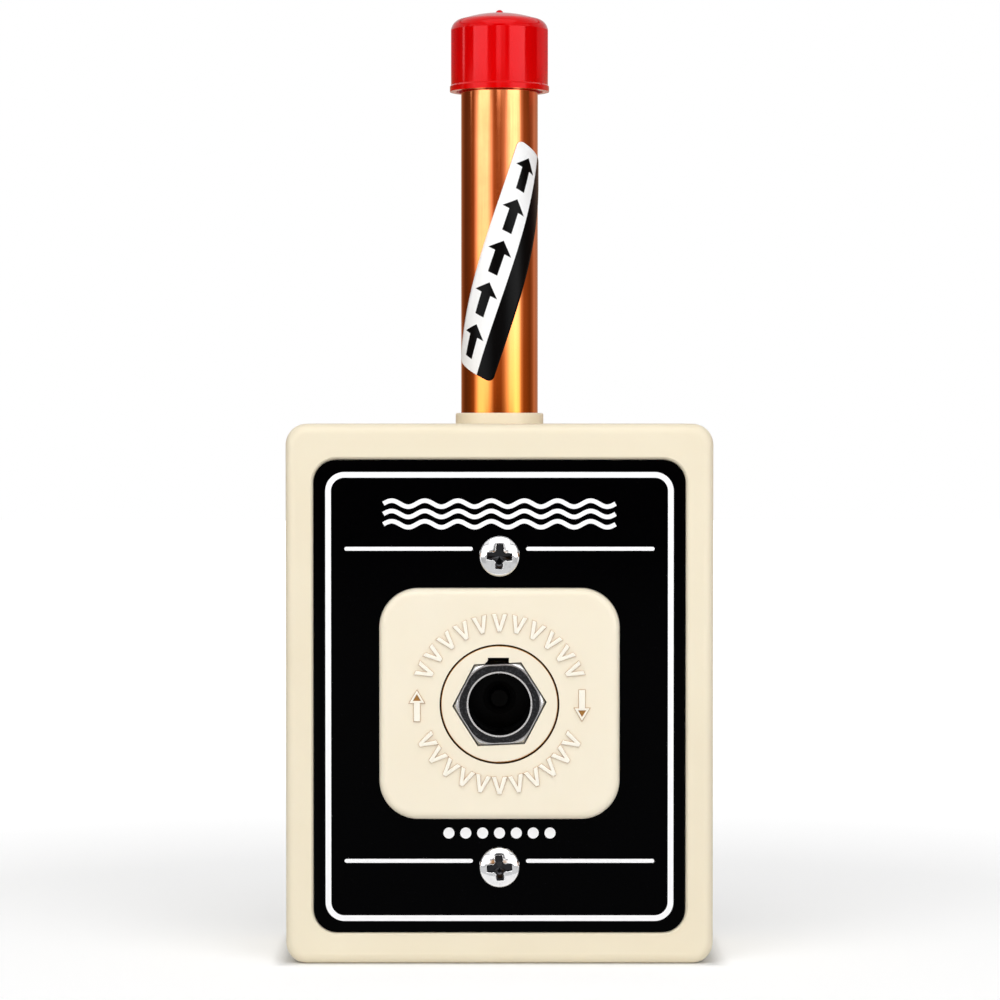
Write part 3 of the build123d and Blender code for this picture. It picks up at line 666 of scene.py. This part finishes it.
def marksTree(name, inputs, spread):
    # copies of one mark; spread gives where each goes and how it is turned
    group = bpy.data.node_groups.new(name, "GeometryNodeTree")
    face = group.interface
    face.new_socket("Geometry", in_out="OUTPUT", socket_type="NodeSocketGeometry")
    for label, kind in inputs.items():
        face.new_socket(label, in_out="INPUT", socket_type="NodeSocket" + kind)
    build = Tree(group)
    given = build.node("NodeGroupInput")
    spot, turn = spread(build, given, build.node("GeometryNodeInputIndex"))
    points = build.node("GeometryNodePoints", inputs={"Count": given.beside("Count"), "Position": spot})
    mark = build.node("GeometryNodeObjectInfo", inputs={"Object": given.beside("Mark")}, out="Geometry")
    placing = {"Points": points, "Instance": mark, "Rotation": turn}
    placed = build.node("GeometryNodeInstanceOnPoints", inputs=placing)
    solid = build.node("GeometryNodeRealizeInstances", inputs={"Geometry": placed})
    painting = {"Geometry": solid, "Material": given.beside("Finish")}
    painted = build.node("GeometryNodeSetMaterial", inputs=painting)
    build.node("NodeGroupOutput", inputs={0: painted})
    return group


def alongRow(build, given, index):
    # evenly apart on a straight line, about the middle
    place = index - (given.beside("Count") - 1.0) / 2.0
    steps = {"X": place * given.beside("Step X"), "Z": place * given.beside("Step Z")}
    return build.node("ShaderNodeCombineXYZ", inputs=steps), (0, 0, 0)


def alongArc(build, given, index):
    # evenly apart on an arc, each turned to face along its radius
    radius = given.beside("Radius")
    angle = index / (given.beside("Count") - 1.0) * given.beside("Sweep") + given.beside("Start")
    across, upward = angle.math("COSINE") * radius, angle.math("SINE") * radius
    spot = build.node("ShaderNodeCombineXYZ", inputs={"X": across, "Z": upward})
    turn = build.node("ShaderNodeCombineXYZ", inputs={"Y": given.beside("Turn") - angle})
    return spot, turn


def grownMesh(name, tree, values):
    # runs a tree on an empty carrier and keeps the result as a plain mesh
    carrier = bpy.data.objects.new("carrier", bpy.data.meshes.new("carrier"))
    scene.collection.objects.link(carrier)
    modifier = carrier.modifiers.new("grow", "NODES")
    modifier.node_group = tree
    for item in tree.interface.items_tree:
        if item.item_type == "SOCKET" and item.in_out == "INPUT":
            modifier[item.identifier] = values[item.name]
    bpy.context.view_layer.update()
    evaluated = carrier.evaluated_get(bpy.context.evaluated_depsgraph_get())
    mesh = bpy.data.meshes.new_from_object(evaluated)
    mesh.name = name
    bpy.data.objects.remove(carrier)
    return mesh


def repeated(name, tree, shape, place, material, values):
    # copies of a shape as one mesh, moved to its place
    stamp = bpy.data.objects.new("stamp", shape)
    scene.collection.objects.link(stamp)
    mesh = grownMesh(name, tree, dict(values, Mark=stamp, Finish=materials[material]))
    mesh.transform(Matrix.Translation((place[0], 0, place[1])))
    bpy.data.objects.remove(stamp)
    return mesh


rowTree = marksTree(
    "rowOfMarks",
    {"Mark": "Object", "Count": "Int", "Step X": "Float", "Step Z": "Float", "Finish": "Material"},
    alongRow,
)
arcTree = marksTree(
    "arcOfMarks",
    {
        "Mark": "Object", "Count": "Int", "Radius": "Float", "Start": "Float", "Sweep": "Float",
        "Turn": "Float", "Finish": "Material",
    },
    alongArc,
)


# white print on the black plate

printLook = {
    "ink": 0.03 * mm,
    "sink": 0.05 * mm,
    "borderInset": 2.2 * mm,
    "borderWide": 1.08 * mm,
    "borderCorner": 3.6 * mm,
    "borderRise": -0.1 * mm,
    "ruleIn": 5.05 * mm,
    "ruleOut": 29.4 * mm,
    "ruleWide": 0.74 * mm,
    "ruleHeights": (79.0 * mm, 19.7 * mm),
    "waveWide": 44.0 * mm,
    "waveRise": 1.15 * mm,
    "waveCount": 7,
    "waveLines": 3,
    "waveGap": 1.95 * mm,
    "waveStroke": 0.85 * mm,
    "waveZ": 85.6 * mm,
    "waveSteps": 150,
    "dotCount": 7,
    "dotPitch": 3.2 * mm,
    "dotRadius": 1.05 * mm,
    "dotZ": 25.0 * mm,
}


def inkDepth(look):
    # the front and the back of the print
    return plateLow.y - look["ink"], plateLow.y + look["sink"]


def printedBorder(look):
    width = plateHigh.x - plateLow.x - 2 * look["borderInset"]
    height = plateHigh.z - plateLow.z - 2 * look["borderInset"]
    wide = look["borderWide"]
    outer = roundedLoop(width, height, look["borderCorner"])
    inner = roundedLoop(width - 2 * wide, height - 2 * wide, look["borderCorner"] - wide)
    return [raisedFace(outer, inner, (0, plateZ + look["borderRise"]), *inkDepth(look))]


def printedRules(look):
    parts = []
    long = look["ruleOut"] - look["ruleIn"]
    wide = look["ruleWide"]
    outline = roundedLoop(long, wide, wide * 0.49, 6)
    for side in (-1, 1):
        for height in look["ruleHeights"]:
            place = (side * (look["ruleIn"] + long / 2), height)
            parts.append(raisedFace(outline, None, place, *inkDepth(look)))
    return parts


def printedWaves(look):
    # plain flow lines, where a heading would stand
    turns = look["waveCount"] * 2 * pi
    swing = look["waveRise"] / 2
    upper = []
    lower = []
    for step in range(look["waveSteps"] + 1):
        share = step / look["waveSteps"]
        x = (share - 0.5) * look["waveWide"]
        z = sin(share * turns) * swing
        slope = cos(share * turns) * swing * turns / look["waveWide"]
        off = look["waveStroke"] / 2 / sqrt(1 + slope ** 2)
        upper.append((x - slope * off, z + off))
        lower.append((x + slope * off, z - off))
    shape = joinedMesh("wave", [raisedStrip(lower, upper, (0, 0), *inkDepth(look))])
    values = {"Count": look["waveLines"], "Step X": 0.0, "Step Z": look["waveGap"]}
    return repeated("print_waves", rowTree, shape, (0, look["waveZ"]), "ink", values)


def printedDots(look):
    outline = circlePoints(look["dotRadius"], [2 * pi * step / 28 for step in range(28)])
    shape = joinedMesh("dot", [raisedFace(outline, None, (0, 0), *inkDepth(look))])
    values = {"Count": look["dotCount"], "Step X": look["dotPitch"], "Step Z": 0.0}
    return repeated("print_dots", rowTree, shape, (0, look["dotZ"]), "ink", values)


meshPiece("print_border", joinedMesh("print_border", printedBorder(printLook)), "ink")
meshPiece("print_rules", joinedMesh("print_rules", printedRules(printLook)), "ink")
meshPiece("print_waves", printedWaves(printLook), "ink")
meshPiece("print_dots", printedDots(printLook), "ink")
print("print laid on the plate")


# raised marks on the bezel

markLook = {
    "count": 11,
    "midRadius": 15.4 * mm,
    "topSweep": radians(132),
    "bottomSweep": radians(126),
    "wide": 3.05 * mm,
    "high": 3.4 * mm,
    "stroke": 0.9 * mm,
    "rise": 0.4 * mm,
    "sink": 0.1 * mm,
    "bevel": 0.19 * mm,
}


def chevronOutline(wide, high, stroke):
    # a chevron that points along +Z
    foot, notch, tip = stroke * 1.05, stroke * 1.5, stroke * 0.42
    return [
        (-wide / 2, -high / 2),
        (-wide / 2 + foot, -high / 2),
        (0, high / 2 - notch),
        (wide / 2 - foot, -high / 2),
        (wide / 2, -high / 2),
        (tip, high / 2),
        (-tip, high / 2),
    ]


def raisedMarks(look):
    front, back = bezelLow.y - look["rise"], bezelLow.y + look["sink"]
    outline = chevronOutline(look["wide"], look["high"], look["stroke"])
    shape = joinedMesh("chevron", [raisedFace(outline, None, (0, 0), front, back, look["bevel"], 3)])
    arcs = {
        "marks_connect": (pi / 2 - look["topSweep"] / 2, look["topSweep"], -pi / 2),
        "marks_release": (-pi / 2 - look["bottomSweep"] / 2, look["bottomSweep"], pi / 2),
    }
    for name, (start, sweep, turn) in arcs.items():
        values = {"Count": look["count"], "Radius": look["midRadius"]}
        values.update({"Start": start, "Sweep": sweep, "Turn": turn})
        mesh = repeated(name, arcTree, shape, (socketX, socketZ), "marks", values)
        meshPiece(name, mesh, "marks")


raisedMarks(markLook)


arrowLook = {
    "x": 15.6 * mm,
    "midZ": -0.25 * mm,
    "high": 6.1 * mm,
    "headWide": 3.2 * mm,
    "headHigh": 2.65 * mm,
    "shaft": 1.35 * mm,
    "stroke": 0.72 * mm,
    "rise": 0.36 * mm,
    "sink": 0.1 * mm,
    "bevel": 0.2 * mm,
    "shadeSheet": 0.03 * mm,
    "baseShare": 0.8,
    "tipShare": 0.75,
    "overlap": 0.3,
}


def arrowMesh(look, side):
    # left arrow points up and right arrow points down, both with hollow heads that hold a sheet of
    # painted shade
    way = -side
    half, rib = look["high"] / 2, look["stroke"]
    front, back = bezelLow.y - look["rise"], bezelLow.y + look["sink"]
    place = (socketX + side * look["x"], socketZ + look["midZ"])
    base = half - look["headHigh"]
    headHalf = look["headWide"] / 2
    lowIn = base + rib * look["baseShare"]
    topIn = half - rib * sqrt(headHalf ** 2 + look["headHigh"] ** 2) / headHalf * look["tipShare"]
    inHalf = headHalf * (topIn - lowIn) / look["headHigh"]
    wide, stemTop = look["shaft"] / 2, base + rib * look["overlap"]

    def turned(points):
        return [(x * way, z * way) for x, z in points]

    outer = turned([(-headHalf, base), (headHalf, base), (0, half)])
    inner = turned([(-inHalf, lowIn), (inHalf, lowIn), (0, topIn)])
    stem = turned([(-wide, -half), (wide, -half), (wide, stemTop), (-wide, stemTop)])
    head = raisedFace(outer, inner, place, front, back, look["bevel"], 3)
    shaft = raisedFace(stem, None, place, front, back, look["bevel"], 3)
    # painted shade: a thin sheet inside each hollow head takes the marks' tan side colour, standing in
    # for the shade there
    shadeSheet = raisedFace(inner, None, place, bezelLow.y - look["shadeSheet"], back)
    return joinedMesh("arrow", [head, shaft, shadeSheet])


meshPiece("arrow_left", arrowMesh(arrowLook, -1), "marks")
meshPiece("arrow_right", arrowMesh(arrowLook, 1), "marks")
print("marks raised on the bezel")


# black collar inside the hexagon

collarLook = {
    "flats": 7.27 * mm,
    "corner": 5.0 * mm,
    "turn": radians(2.5),
    "bore": 6.2 * mm,
    "sleeve": 6.75 * mm,
    "flange": 0.6 * mm,
    "length": 3.4 * mm,
    "bevel": 0.12 * mm,
}


def hexLoop(flats, corner, turn, steps=12):
    # corner points of a rounded hexagon with its first corner to the right
    points = []
    reach = (flats - corner) / cos(pi / 6)
    for index in range(6):
        middle = turn + index * pi / 3
        angles = [middle + (step / steps - 0.5) * pi / 3 for step in range(steps + 1)]
        points += circlePoints(corner, angles, (reach * cos(middle), reach * sin(middle)))
    return points


def collarMesh(look):
    low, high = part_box("index_collar")
    place = ((low.x + high.x) / 2, (low.z + high.z) / 2)
    outer = hexLoop(look["flats"], look["corner"], look["turn"])
    count = len(outer)
    turns = [look["turn"] - pi / 6 + 2 * pi * index / count for index in range(count)]
    bore = circlePoints(look["bore"], turns)
    sleeve = circlePoints(look["sleeve"], turns)
    front, step = low.y, low.y + look["flange"]
    flange = raisedFace(outer, bore, place, front, step, look["bevel"], 3)
    tube = raisedFace(sleeve, bore, place, step, step + look["length"])
    return joinedMesh("hex_collar", [flange, tube])


collar = meshPiece("hex_collar", collarMesh(collarLook), "blackCollar")
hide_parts("index_collar")
print("collar made")


# fascia screws

screwLook = {
    "radius": 3.85 * mm,
    "rise": 2.5 * mm,
    "dome": 1.45 * mm,
    "roundness": 2.1,
    "shank": 2.0 * mm,
    "shankEnd": 10.5 * mm,
    "crossReach": 2.35 * mm,
    "armWide": 0.62 * mm,
    "armGrow": 0.12,
    "fillet": 0.75 * mm,
    "depth": 1.5 * mm,
    "wall": 0.2 * mm,
    "lip": 0.08 * mm,
    "domeShare": 0.97,
    "floorRise": 0.45,
    "rings": 150,
    "spokes": 168,
    "ringSpread": 0.85,
}


def crossDistance(x, z, look):
    # distance outside the cross outline, less than nothing inside it; inner corners are rounded
    a, b = abs(x), abs(z)
    if a < b:
        a, b = b, a
    arm = look["armWide"] + look["armGrow"] * (look["crossReach"] - a)
    along = a - look["crossReach"]
    beside = b - arm
    straight = max(along, beside)
    corner = look["armWide"] + look["fillet"]
    if a < corner and b < corner:
        return look["fillet"] - sqrt((corner - a) ** 2 + (corner - b) ** 2)
    return straight


def headHeight(x, z, look):
    # how far the head stands out at a place, and how much of the cross's wall lies above it
    away = sqrt(x * x + z * z)
    share = min(away / look["radius"], 1.0)
    fall = 1 - sqrt(max(0.0, 1 - share ** look["roundness"] * look["domeShare"]))
    top = look["rise"] - look["dome"] * fall
    inside = look["lip"] - crossDistance(x, z, look)
    if inside <= 0:
        return top, 0.0
    wall = min(1.0, inside / look["wall"])
    smooth = wall * wall * (3 - 2 * wall)
    floor = look["depth"] * (1 - look["floorRise"] * min(1.0, away / look["crossReach"]))
    return top - floor * smooth, smooth


def screwMesh(name, centre, look, turn):
    # the head as rings from the middle outwards, then the shank behind it
    mesh = bmesh.new()
    depth = mesh.verts.layers.float.new("crossShade")
    spokes = look["spokes"]
    angles = [2 * pi * spoke / spokes for spoke in range(spokes)]
    middle = mesh.verts.new((centre.x, plateLow.y - headHeight(0, 0, look)[0], centre.z))
    middle[depth] = 1.0
    rings = []
    for ring in range(1, look["rings"] + 1):
        away = look["radius"] * (ring / look["rings"]) ** look["ringSpread"]
        current = []
        for x, z in circlePoints(away, angles):
            height, inRecess = headHeight(x, z, look)
            turnedX, turnedZ = x * cos(turn) - z * sin(turn), x * sin(turn) + z * cos(turn)
            vert = mesh.verts.new((centre.x + turnedX, plateLow.y - height, centre.z + turnedZ))
            # painted shade: how deep a point lies in the cross is kept so that the material can darken
            # it
            vert[depth] = inRecess
            current.append(vert)
        rings.append(current)
    for radius, y in ((look["radius"], 0.0), (look["shank"], 0.0), (look["shank"], look["shankEnd"])):
        outline = circlePoints(radius, angles, (centre.x, centre.z))
        rings.append([mesh.verts.new((x, plateLow.y + y, z)) for x, z in outline])
    for spoke in range(spokes):
        after = (spoke + 1) % spokes
        mesh.faces.new((middle, rings[0][spoke], rings[0][after]))
        for inner, outer in zip(rings, rings[1:]):
            mesh.faces.new((inner[spoke], outer[spoke], outer[after], inner[after]))
    mesh.faces.new(rings[-1][::-1])
    bmesh.ops.recalc_face_normals(mesh, faces=mesh.faces)
    return joinedMesh(name, [mesh], smooth=True)


for place, turn in (("top", radians(-3)), ("bottom", radians(4))):
    low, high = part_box("fascia_screw_" + place)
    head = screwMesh("pan_screw", (low + high) / 2, screwLook, turn)
    screw = meshPiece("pan_screw_" + place, head, "screw")
    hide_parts("fascia_screw_" + place)
print("fascia screws made")


# label on the pipe

def labelPoint(along, across, radius, look):
    arc = along * sin(look["slant"]) + across * cos(look["slant"])
    rise = along * cos(look["slant"]) - across * sin(look["endSlant"])
    angle = arc / pipeRadius + look["turn"]
    middle = (labelLow.z + labelHigh.z) / 2 - look["lower"]
    return Vector((pipeX + radius * sin(angle), pipeY - radius * cos(angle), middle + rise))


def cornerInset(share, look):
    # how far the long edge draws in near the label's rounded ends
    fromEnd = min(share, 1 - share) * look["length"]
    if fromEnd >= look["corner"]:
        return 0.0
    return look["corner"] - sqrt(max(0.0, look["corner"] ** 2 - (look["corner"] - fromEnd) ** 2))


def labelMesh(look):
    # a thin film of two skins, joined round its edge and rolled on the pipe
    mesh = bmesh.new()
    layer = mesh.loops.layers.uv.new("flat")
    rows, columns = look["rows"], look["columns"]
    spots = []
    for row in range(rows + 1):
        share = 0.5 - 0.5 * cos(pi * row / rows)
        inset = cornerInset(share, look)
        step = (look["width"] - 2 * inset) / columns
        spots.append([(share * look["length"], inset + step * column) for column in range(columns + 1)])
    flat = {}
    skins = []
    for lift in (look["lift"] + look["thick"], look["lift"]):
        skin = []
        radius = pipeRadius + lift
        for line in spots:
            skin.append([])
            for u, v in line:
                spot = labelPoint(u - look["length"] / 2, v - look["width"] / 2, radius, look)
                vert = mesh.verts.new(spot)
                flat[vert] = (u / look["length"], v / look["width"])
                skin[-1].append(vert)
        skins.append(skin)
    top, under = skins
    for i in range(rows):
        for j in range(columns):
            mesh.faces.new((top[i][j], top[i][j + 1], top[i + 1][j + 1], top[i + 1][j]))
            mesh.faces.new((under[i][j], under[i + 1][j], under[i + 1][j + 1], under[i][j + 1]))
    loop = [(i, 0) for i in range(rows + 1)]
    loop += [(rows, j) for j in range(1, columns + 1)]
    loop += [(i, columns) for i in range(rows - 1, -1, -1)]
    loop += [(0, j) for j in range(columns - 1, 0, -1)]
    for (i, j), (nextI, nextJ) in zip(loop, loop[1:] + loop[:1]):
        mesh.faces.new((top[i][j], top[nextI][nextJ], under[nextI][nextJ], under[i][j]))
    for polygon in mesh.faces:
        for corner in polygon.loops:
            corner[layer].uv = flat[corner.vert]
    bmesh.ops.recalc_face_normals(mesh, faces=mesh.faces)
    return joinedMesh("pipe_sticker", [mesh], smooth=True)


sticker = meshPiece("pipe_sticker", labelMesh(labelLook), "label")
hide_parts("pipe_label")
print("label rolled on the pipe")


# copies of the release and check springs

springLook = {
    "release_coil": {"node": "release_spring", "joint": "ring_slide", "travel": 3.0 * mm},
    "check_coil": {"node": "check_spring", "joint": "poppet_slide", "travel": 2.5 * mm},
}


def closingSpring(name, look):
    # a copy of the coil in place of the model's spring node
    mesh = bmesh.new()
    mesh.from_mesh(nodes[look["node"]].data)
    bmesh.ops.remove_doubles(mesh, verts=mesh.verts, dist=0.0005 * mm)
    mesh.transform(nodes[look["node"]].matrix_world)
    coil = meshPiece(name, joinedMesh(name, [mesh], smooth=True), "innerSteel")
    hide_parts(look["node"])
    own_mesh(coil)


for name, look in springLook.items():
    closingSpring(name, look)
print("springs set")


# studio

studio = {
    "eyeHeight": 103.4 * mm,
    "eyeDistance": 682.0 * mm,
    "eyeRight": 0.1 * mm,
    "tiltDown": radians(1.273),
    "lens": 129.6,
    "worldLevel": 0.3,
    "sideLevel": 0.95,
    "rightTint": (0.99, 1.0, 1.06),
    "sideAngle": 38.0,
    "sideDistance": 1.2,
    "sideWide": 0.8,
    "sideHigh": 1.3,
    "frontLevel": 1.42,
    "frontWide": 1.1,
    "frontHigh": 0.5,
    "frontHeight": 0.2,
    "topLevel": 1.86,
    "topWide": 1.5,
    "topDeep": 1.1,
    "topHeight": 1.2,
    "topForward": -0.75,
    "floorReach": 3.0,
    "floorColor": 0.84,
    "floorGlow": 0.345,
    "floorFar": 0.75,
    "farGlow": 0.85,
    "contactShade": 1.6 * mm,
    "apronNear": 56.0 * mm,
    "apronFar": 1.4,
    "apronSheets": 0.22,
    "apronLift": 0.4 * mm,
    "apronLevel": 0.7,
}

# what the shiny pieces reflect: angle to the right of the camera's side, brightness and warmth,
# in one ring at the pipe's height, one at the cap's, one above and one on the floor
tent = {
    "radius": 1.5,
    "top": 1.15,
    "edgeDark": 0.1,
    "edgeFall": 0.9,
    "capFrom": 0.312,
    "capTo": 0.4,
    "lowTo": 0.104,
    "lowSpan": 45.0,
    "lowShare": 0.08,
    "full": 6.0,
    "copperGlow": (0.77, 0.4, 0.175),
    "capGlow": (1.0, 0.1, 0.1),
    "pipe": [
        (-180, 0.74, 0.6), (-150, 0.46, 1.0), (-138, 0.28, 1.0), (-122, 0.17, 1.0),
        (-100, 0.25, 1.0), (-84, 0.49, 1.0), (-76, 1.32, 0.3), (-64, 3.2, 0.0), (-37, 3.4, 0.0),
        (-27, 1.9, 0.1), (-17, 0.74, 1.0), (-6, 0.53, 1.0), (5, 0.56, 1.0), (14, 0.99, 0.5),
        (24, 2.05, 0.0), (33, 3.8, 0.0), (50, 4.4, 0.0), (61, 3.4, 0.0), (68, 1.15, 0.4),
        (78, 0.53, 1.0), (104, 0.28, 1.0), (116, 0.46, 0.8), (128, 0.82, 0.6), (145, 0.66, 0.8),
        (180, 0.74, 0.6),
    ],
    "cap": [
        (-180, 0.8, 0.9), (-155, 0.7, 0.9), (-127, 0.4, 0.9), (-112, 0.1, 0.9), (-99, 0.1, 0),
        (-96.5, 3.2, 0), (-93, 3.2, 0), (-90, 0.2, 0), (-84, 0.02, 0), (-66, 0.02, 0),
        (-63, 5.4, 0), (-30, 5.9, 0), (-27, 0.3, 0), (-9, 0.1, 0), (-6, 3.8, 0), (2, 4.0, 0),
        (5, 1.7, 0), (12, 1.5, 0), (15, 0.2, 0), (22, 0.2, 0), (25, 5.6, 0), (61, 6.0, 0),
        (64, 0.1, 0), (98, 0.02, 0), (103, 1.6, 0.8), (126, 1.6, 0.9), (150, 0.8, 0.9),
        (180, 0.8, 0.9),
    ],
    "floor": [
        (-180, 0.9, 0), (-160, 0.9, 0), (-150, 0.25, 0), (-118, 0.22, 0), (-106, 1.2, 0),
        (-84, 1.2, 0), (-72, 0.5, 0), (-42, 0.5, 0), (-28, 0.7, 0), (28, 0.7, 0), (42, 0.55, 0),
        (70, 0.5, 0), (82, 1.3, 0), (100, 1.3, 0), (112, 0.25, 0), (138, 0.22, 0), (150, 0.9, 0),
        (180, 0.9, 0),
    ],
    "above": [
        (-180, 0.7, 0), (-90, 0.7, 0), (-86, 0.12, 0), (-82, 0.12, 0), (-78, 1.5, 0),
        (-16, 1.5, 0), (-12, 0.08, 0), (12, 0.08, 0), (16, 1.5, 0), (78, 1.5, 0), (82, 0.12, 0),
        (86, 0.12, 0), (90, 0.7, 0), (180, 0.7, 0),
    ],
}


def makeCamera(look):
    data = bpy.data.cameras.new("camera")
    data.lens = look["lens"]
    data.sensor_width = 36.0
    data.clip_start = 0.01
    data.clip_end = 50.0
    camera = bpy.data.objects.new("camera", data)
    scene.collection.objects.link(camera)
    camera.location = (look["eyeRight"], plateLow.y - look["eyeDistance"], look["eyeHeight"])
    camera.rotation_euler = (pi / 2 - look["tiltDown"], 0, 0)
    scene.camera = camera


def makeWorld(look):
    # white to the eye and in reflections, a plain grey level as light
    world = bpy.data.worlds.new("studio")
    scene.world = world
    world.use_nodes = True
    world.node_tree.nodes.clear()
    build = Tree(world.node_tree)
    level = build.seen() * (1 - look["worldLevel"]) + look["worldLevel"]
    background = build.node("ShaderNodeBackground", inputs={"Color": (1, 1, 1, 1), "Strength": level})
    build.node("ShaderNodeOutputWorld", inputs={"Surface": background})


def outside(spot, low, high):
    # how far a point lies outside a span
    return (abs(spot - (low + high) / 2) - (high - low) / 2).math("MAXIMUM", 0.0)


def makeFloor(look):
    # a pale floor that takes the shadow, with a painted contact shadow round the box's footprint, and
    # turns white further out
    mesh = bpy.data.meshes.new("floor")
    reach = look["floorReach"]
    corners = [(-reach, -reach, 0), (reach, -reach, 0), (reach, reach, 0), (-reach, reach, 0)]
    mesh.from_pydata(corners, [], [(0, 1, 2, 3)])
    floor = bpy.data.objects.new("floor", mesh)
    scene.collection.objects.link(floor)
    finish = Finish("paleFloor")
    shade = look["floorColor"]
    diffuse = finish.node("ShaderNodeBsdfDiffuse", inputs={"Color": (shade, shade, shade, 1)})
    x, y, z = finish.axes()
    away = (x * x + y * y) ** 0.5
    far = away.above(look["floorFar"] * 0.6, look["floorFar"] * 0.4)
    boxLow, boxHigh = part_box("box_cover")
    aside = outside(x, boxLow.x, boxHigh.x)
    before = outside(y, boxLow.y, boxHigh.y)
    contactShade = look["contactShade"] / mm
    # painted shadow: the floor's glow fades out within a few millimetres of the box's footprint
    clear = ((aside * aside + before * before) ** 0.5 / mm).above(contactShade, contactShade)
    color = finish.scaled((1, 1, 1), far * look["farGlow"] + clear * look["floorGlow"])
    glow = finish.node("ShaderNodeEmission", inputs={"Color": color, "Strength": finish.seen()})
    both = finish.node("ShaderNodeAddShader", inputs={0: diffuse, 1: glow})
    mesh.materials.append(finish.show(both))


def glowRing(finish, angle, stops, glow):
    # the ring's colour at an angle, as a share of its full brightness
    spread = []
    for spot, level, warmth in stops:
        tint = [level / tent["full"] * (1 - warmth * (1 - part)) for part in glow]
        spread.append(((spot + 180) / 360, (*tint, 1)))
    return finish.node("ShaderNodeValToRGB", {"stops": spread}, {"Fac": angle / 360 + 0.5})


def reflectedRing(name, first, second, material):
    # a ring between two circles, each a radius and a height, seen only in reflections
    mesh = bmesh.new()
    steps = 72
    columns = []
    for step in range(steps):
        angle = 2 * pi * step / steps
        spots = [(radius * sin(angle), radius * cos(angle), z) for radius, z in (first, second)]
        columns.append([mesh.verts.new(spot) for spot in spots])
    for here, after in zip(columns, columns[1:] + columns[:1]):
        mesh.faces.new((here[0], after[0], after[1], here[1]))
    data = bpy.data.meshes.new(name)
    mesh.to_mesh(data)
    mesh.free()
    data.materials.append(material)
    ring = bpy.data.objects.new(name, data)
    scene.collection.objects.link(ring)
    ring.visible_camera = False
    ring.visible_diffuse = False
    ring.visible_shadow = False
    ring.visible_transmission = False
    return ring


def makeTent(look):
    # upright panels all round the object
    finish = Finish("panelRing")
    x, y, z = finish.axes()
    angle = x.math("ARCTAN2", -y) * (180 / pi)
    pipeGlow = glowRing(finish, angle, look["pipe"], look["copperGlow"])
    capGlow = glowRing(finish, angle, look["cap"], look["capGlow"])
    aboveGlow = glowRing(finish, angle, look["above"], look["copperGlow"])
    color = finish.mixColor(z.above(look["capFrom"], 0.006), pipeGlow, capGlow)
    color = finish.mixColor(z.above(look["capTo"], 0.02), color, aboveGlow)
    low = z.below(look["lowTo"], 0.01) * abs(angle).below(look["lowSpan"], 6.0)
    edge = z.above(look["top"] - look["edgeDark"], 0.01)
    color = finish.scaled(color, (1 - low * (1 - look["lowShare"])) * (1 - edge * look["edgeFall"]))
    glow = finish.node("ShaderNodeEmission", inputs={"Color": color, "Strength": look["full"]})
    radius = look["radius"]
    ring = reflectedRing("tent", (radius, 0), (radius, look["top"]), finish.show(glow))


def makeApron(look):
    # grey sheets laid round the object, like the panels above them
    finish = Finish("greySheets")
    x, y, z = finish.axes()
    angle = x.math("ARCTAN2", -y) * (180 / pi)
    away = (x * x + y * y) ** 0.5
    near = look["apronLevel"] / tent["full"]
    sheets = glowRing(finish, angle, tent["floor"], tent["copperGlow"])
    color = finish.mixColor(away.above(look["apronSheets"], 0.03), (near, near, near, 1), sheets)
    glow = finish.node("ShaderNodeEmission", inputs={"Color": color, "Strength": tent["full"]})
    lift = look["apronLift"]
    apron = reflectedRing(
        "apron", (look["apronNear"], lift), (look["apronFar"], lift), finish.show(glow),
    )


def areaLight(name, place, aim, width, height, level):
    # level is the brightness of the panel's face, where 1 is white
    data = bpy.data.lights.new(name, "AREA")
    data.shape = "RECTANGLE"
    data.size = width
    data.size_y = height
    data.energy = level * pi * width * height
    light = bpy.data.objects.new(name, data)
    scene.collection.objects.link(light)
    light.location = place
    light.rotation_euler = (Vector(aim) - Vector(place)).to_track_quat("-Z", "Y").to_euler()
    return light


def makeLights(look):
    for name, side in (("sideLeft", -1), ("sideRight", 1)):
        angle = radians(look["sideAngle"]) * side
        place = (look["sideDistance"] * sin(angle), -look["sideDistance"] * cos(angle), 0.35)
        size = (look["sideWide"], look["sideHigh"])
        light = areaLight(name, place, (0, 0, 0.08), *size, look["sideLevel"])
        light.visible_glossy = False
        if side > 0:
            light.data.color = look["rightTint"]
    front = areaLight(
        "front", (0, -look["sideDistance"], look["frontHeight"]), (0, 0, 0.05),
        look["frontWide"], look["frontHigh"], look["frontLevel"],
    )
    front.visible_glossy = False
    areaLight(
        "overhead", (0, look["topForward"], look["topHeight"]), (0, 0, 0.05),
        look["topWide"], look["topDeep"], look["topLevel"],
    )


makeCamera(studio)
makeWorld(studio)
makeFloor(studio)
makeTent(tent)
makeApron(studio)
makeLights(studio)
scene.view_settings.view_transform = "Standard"
print("studio set")
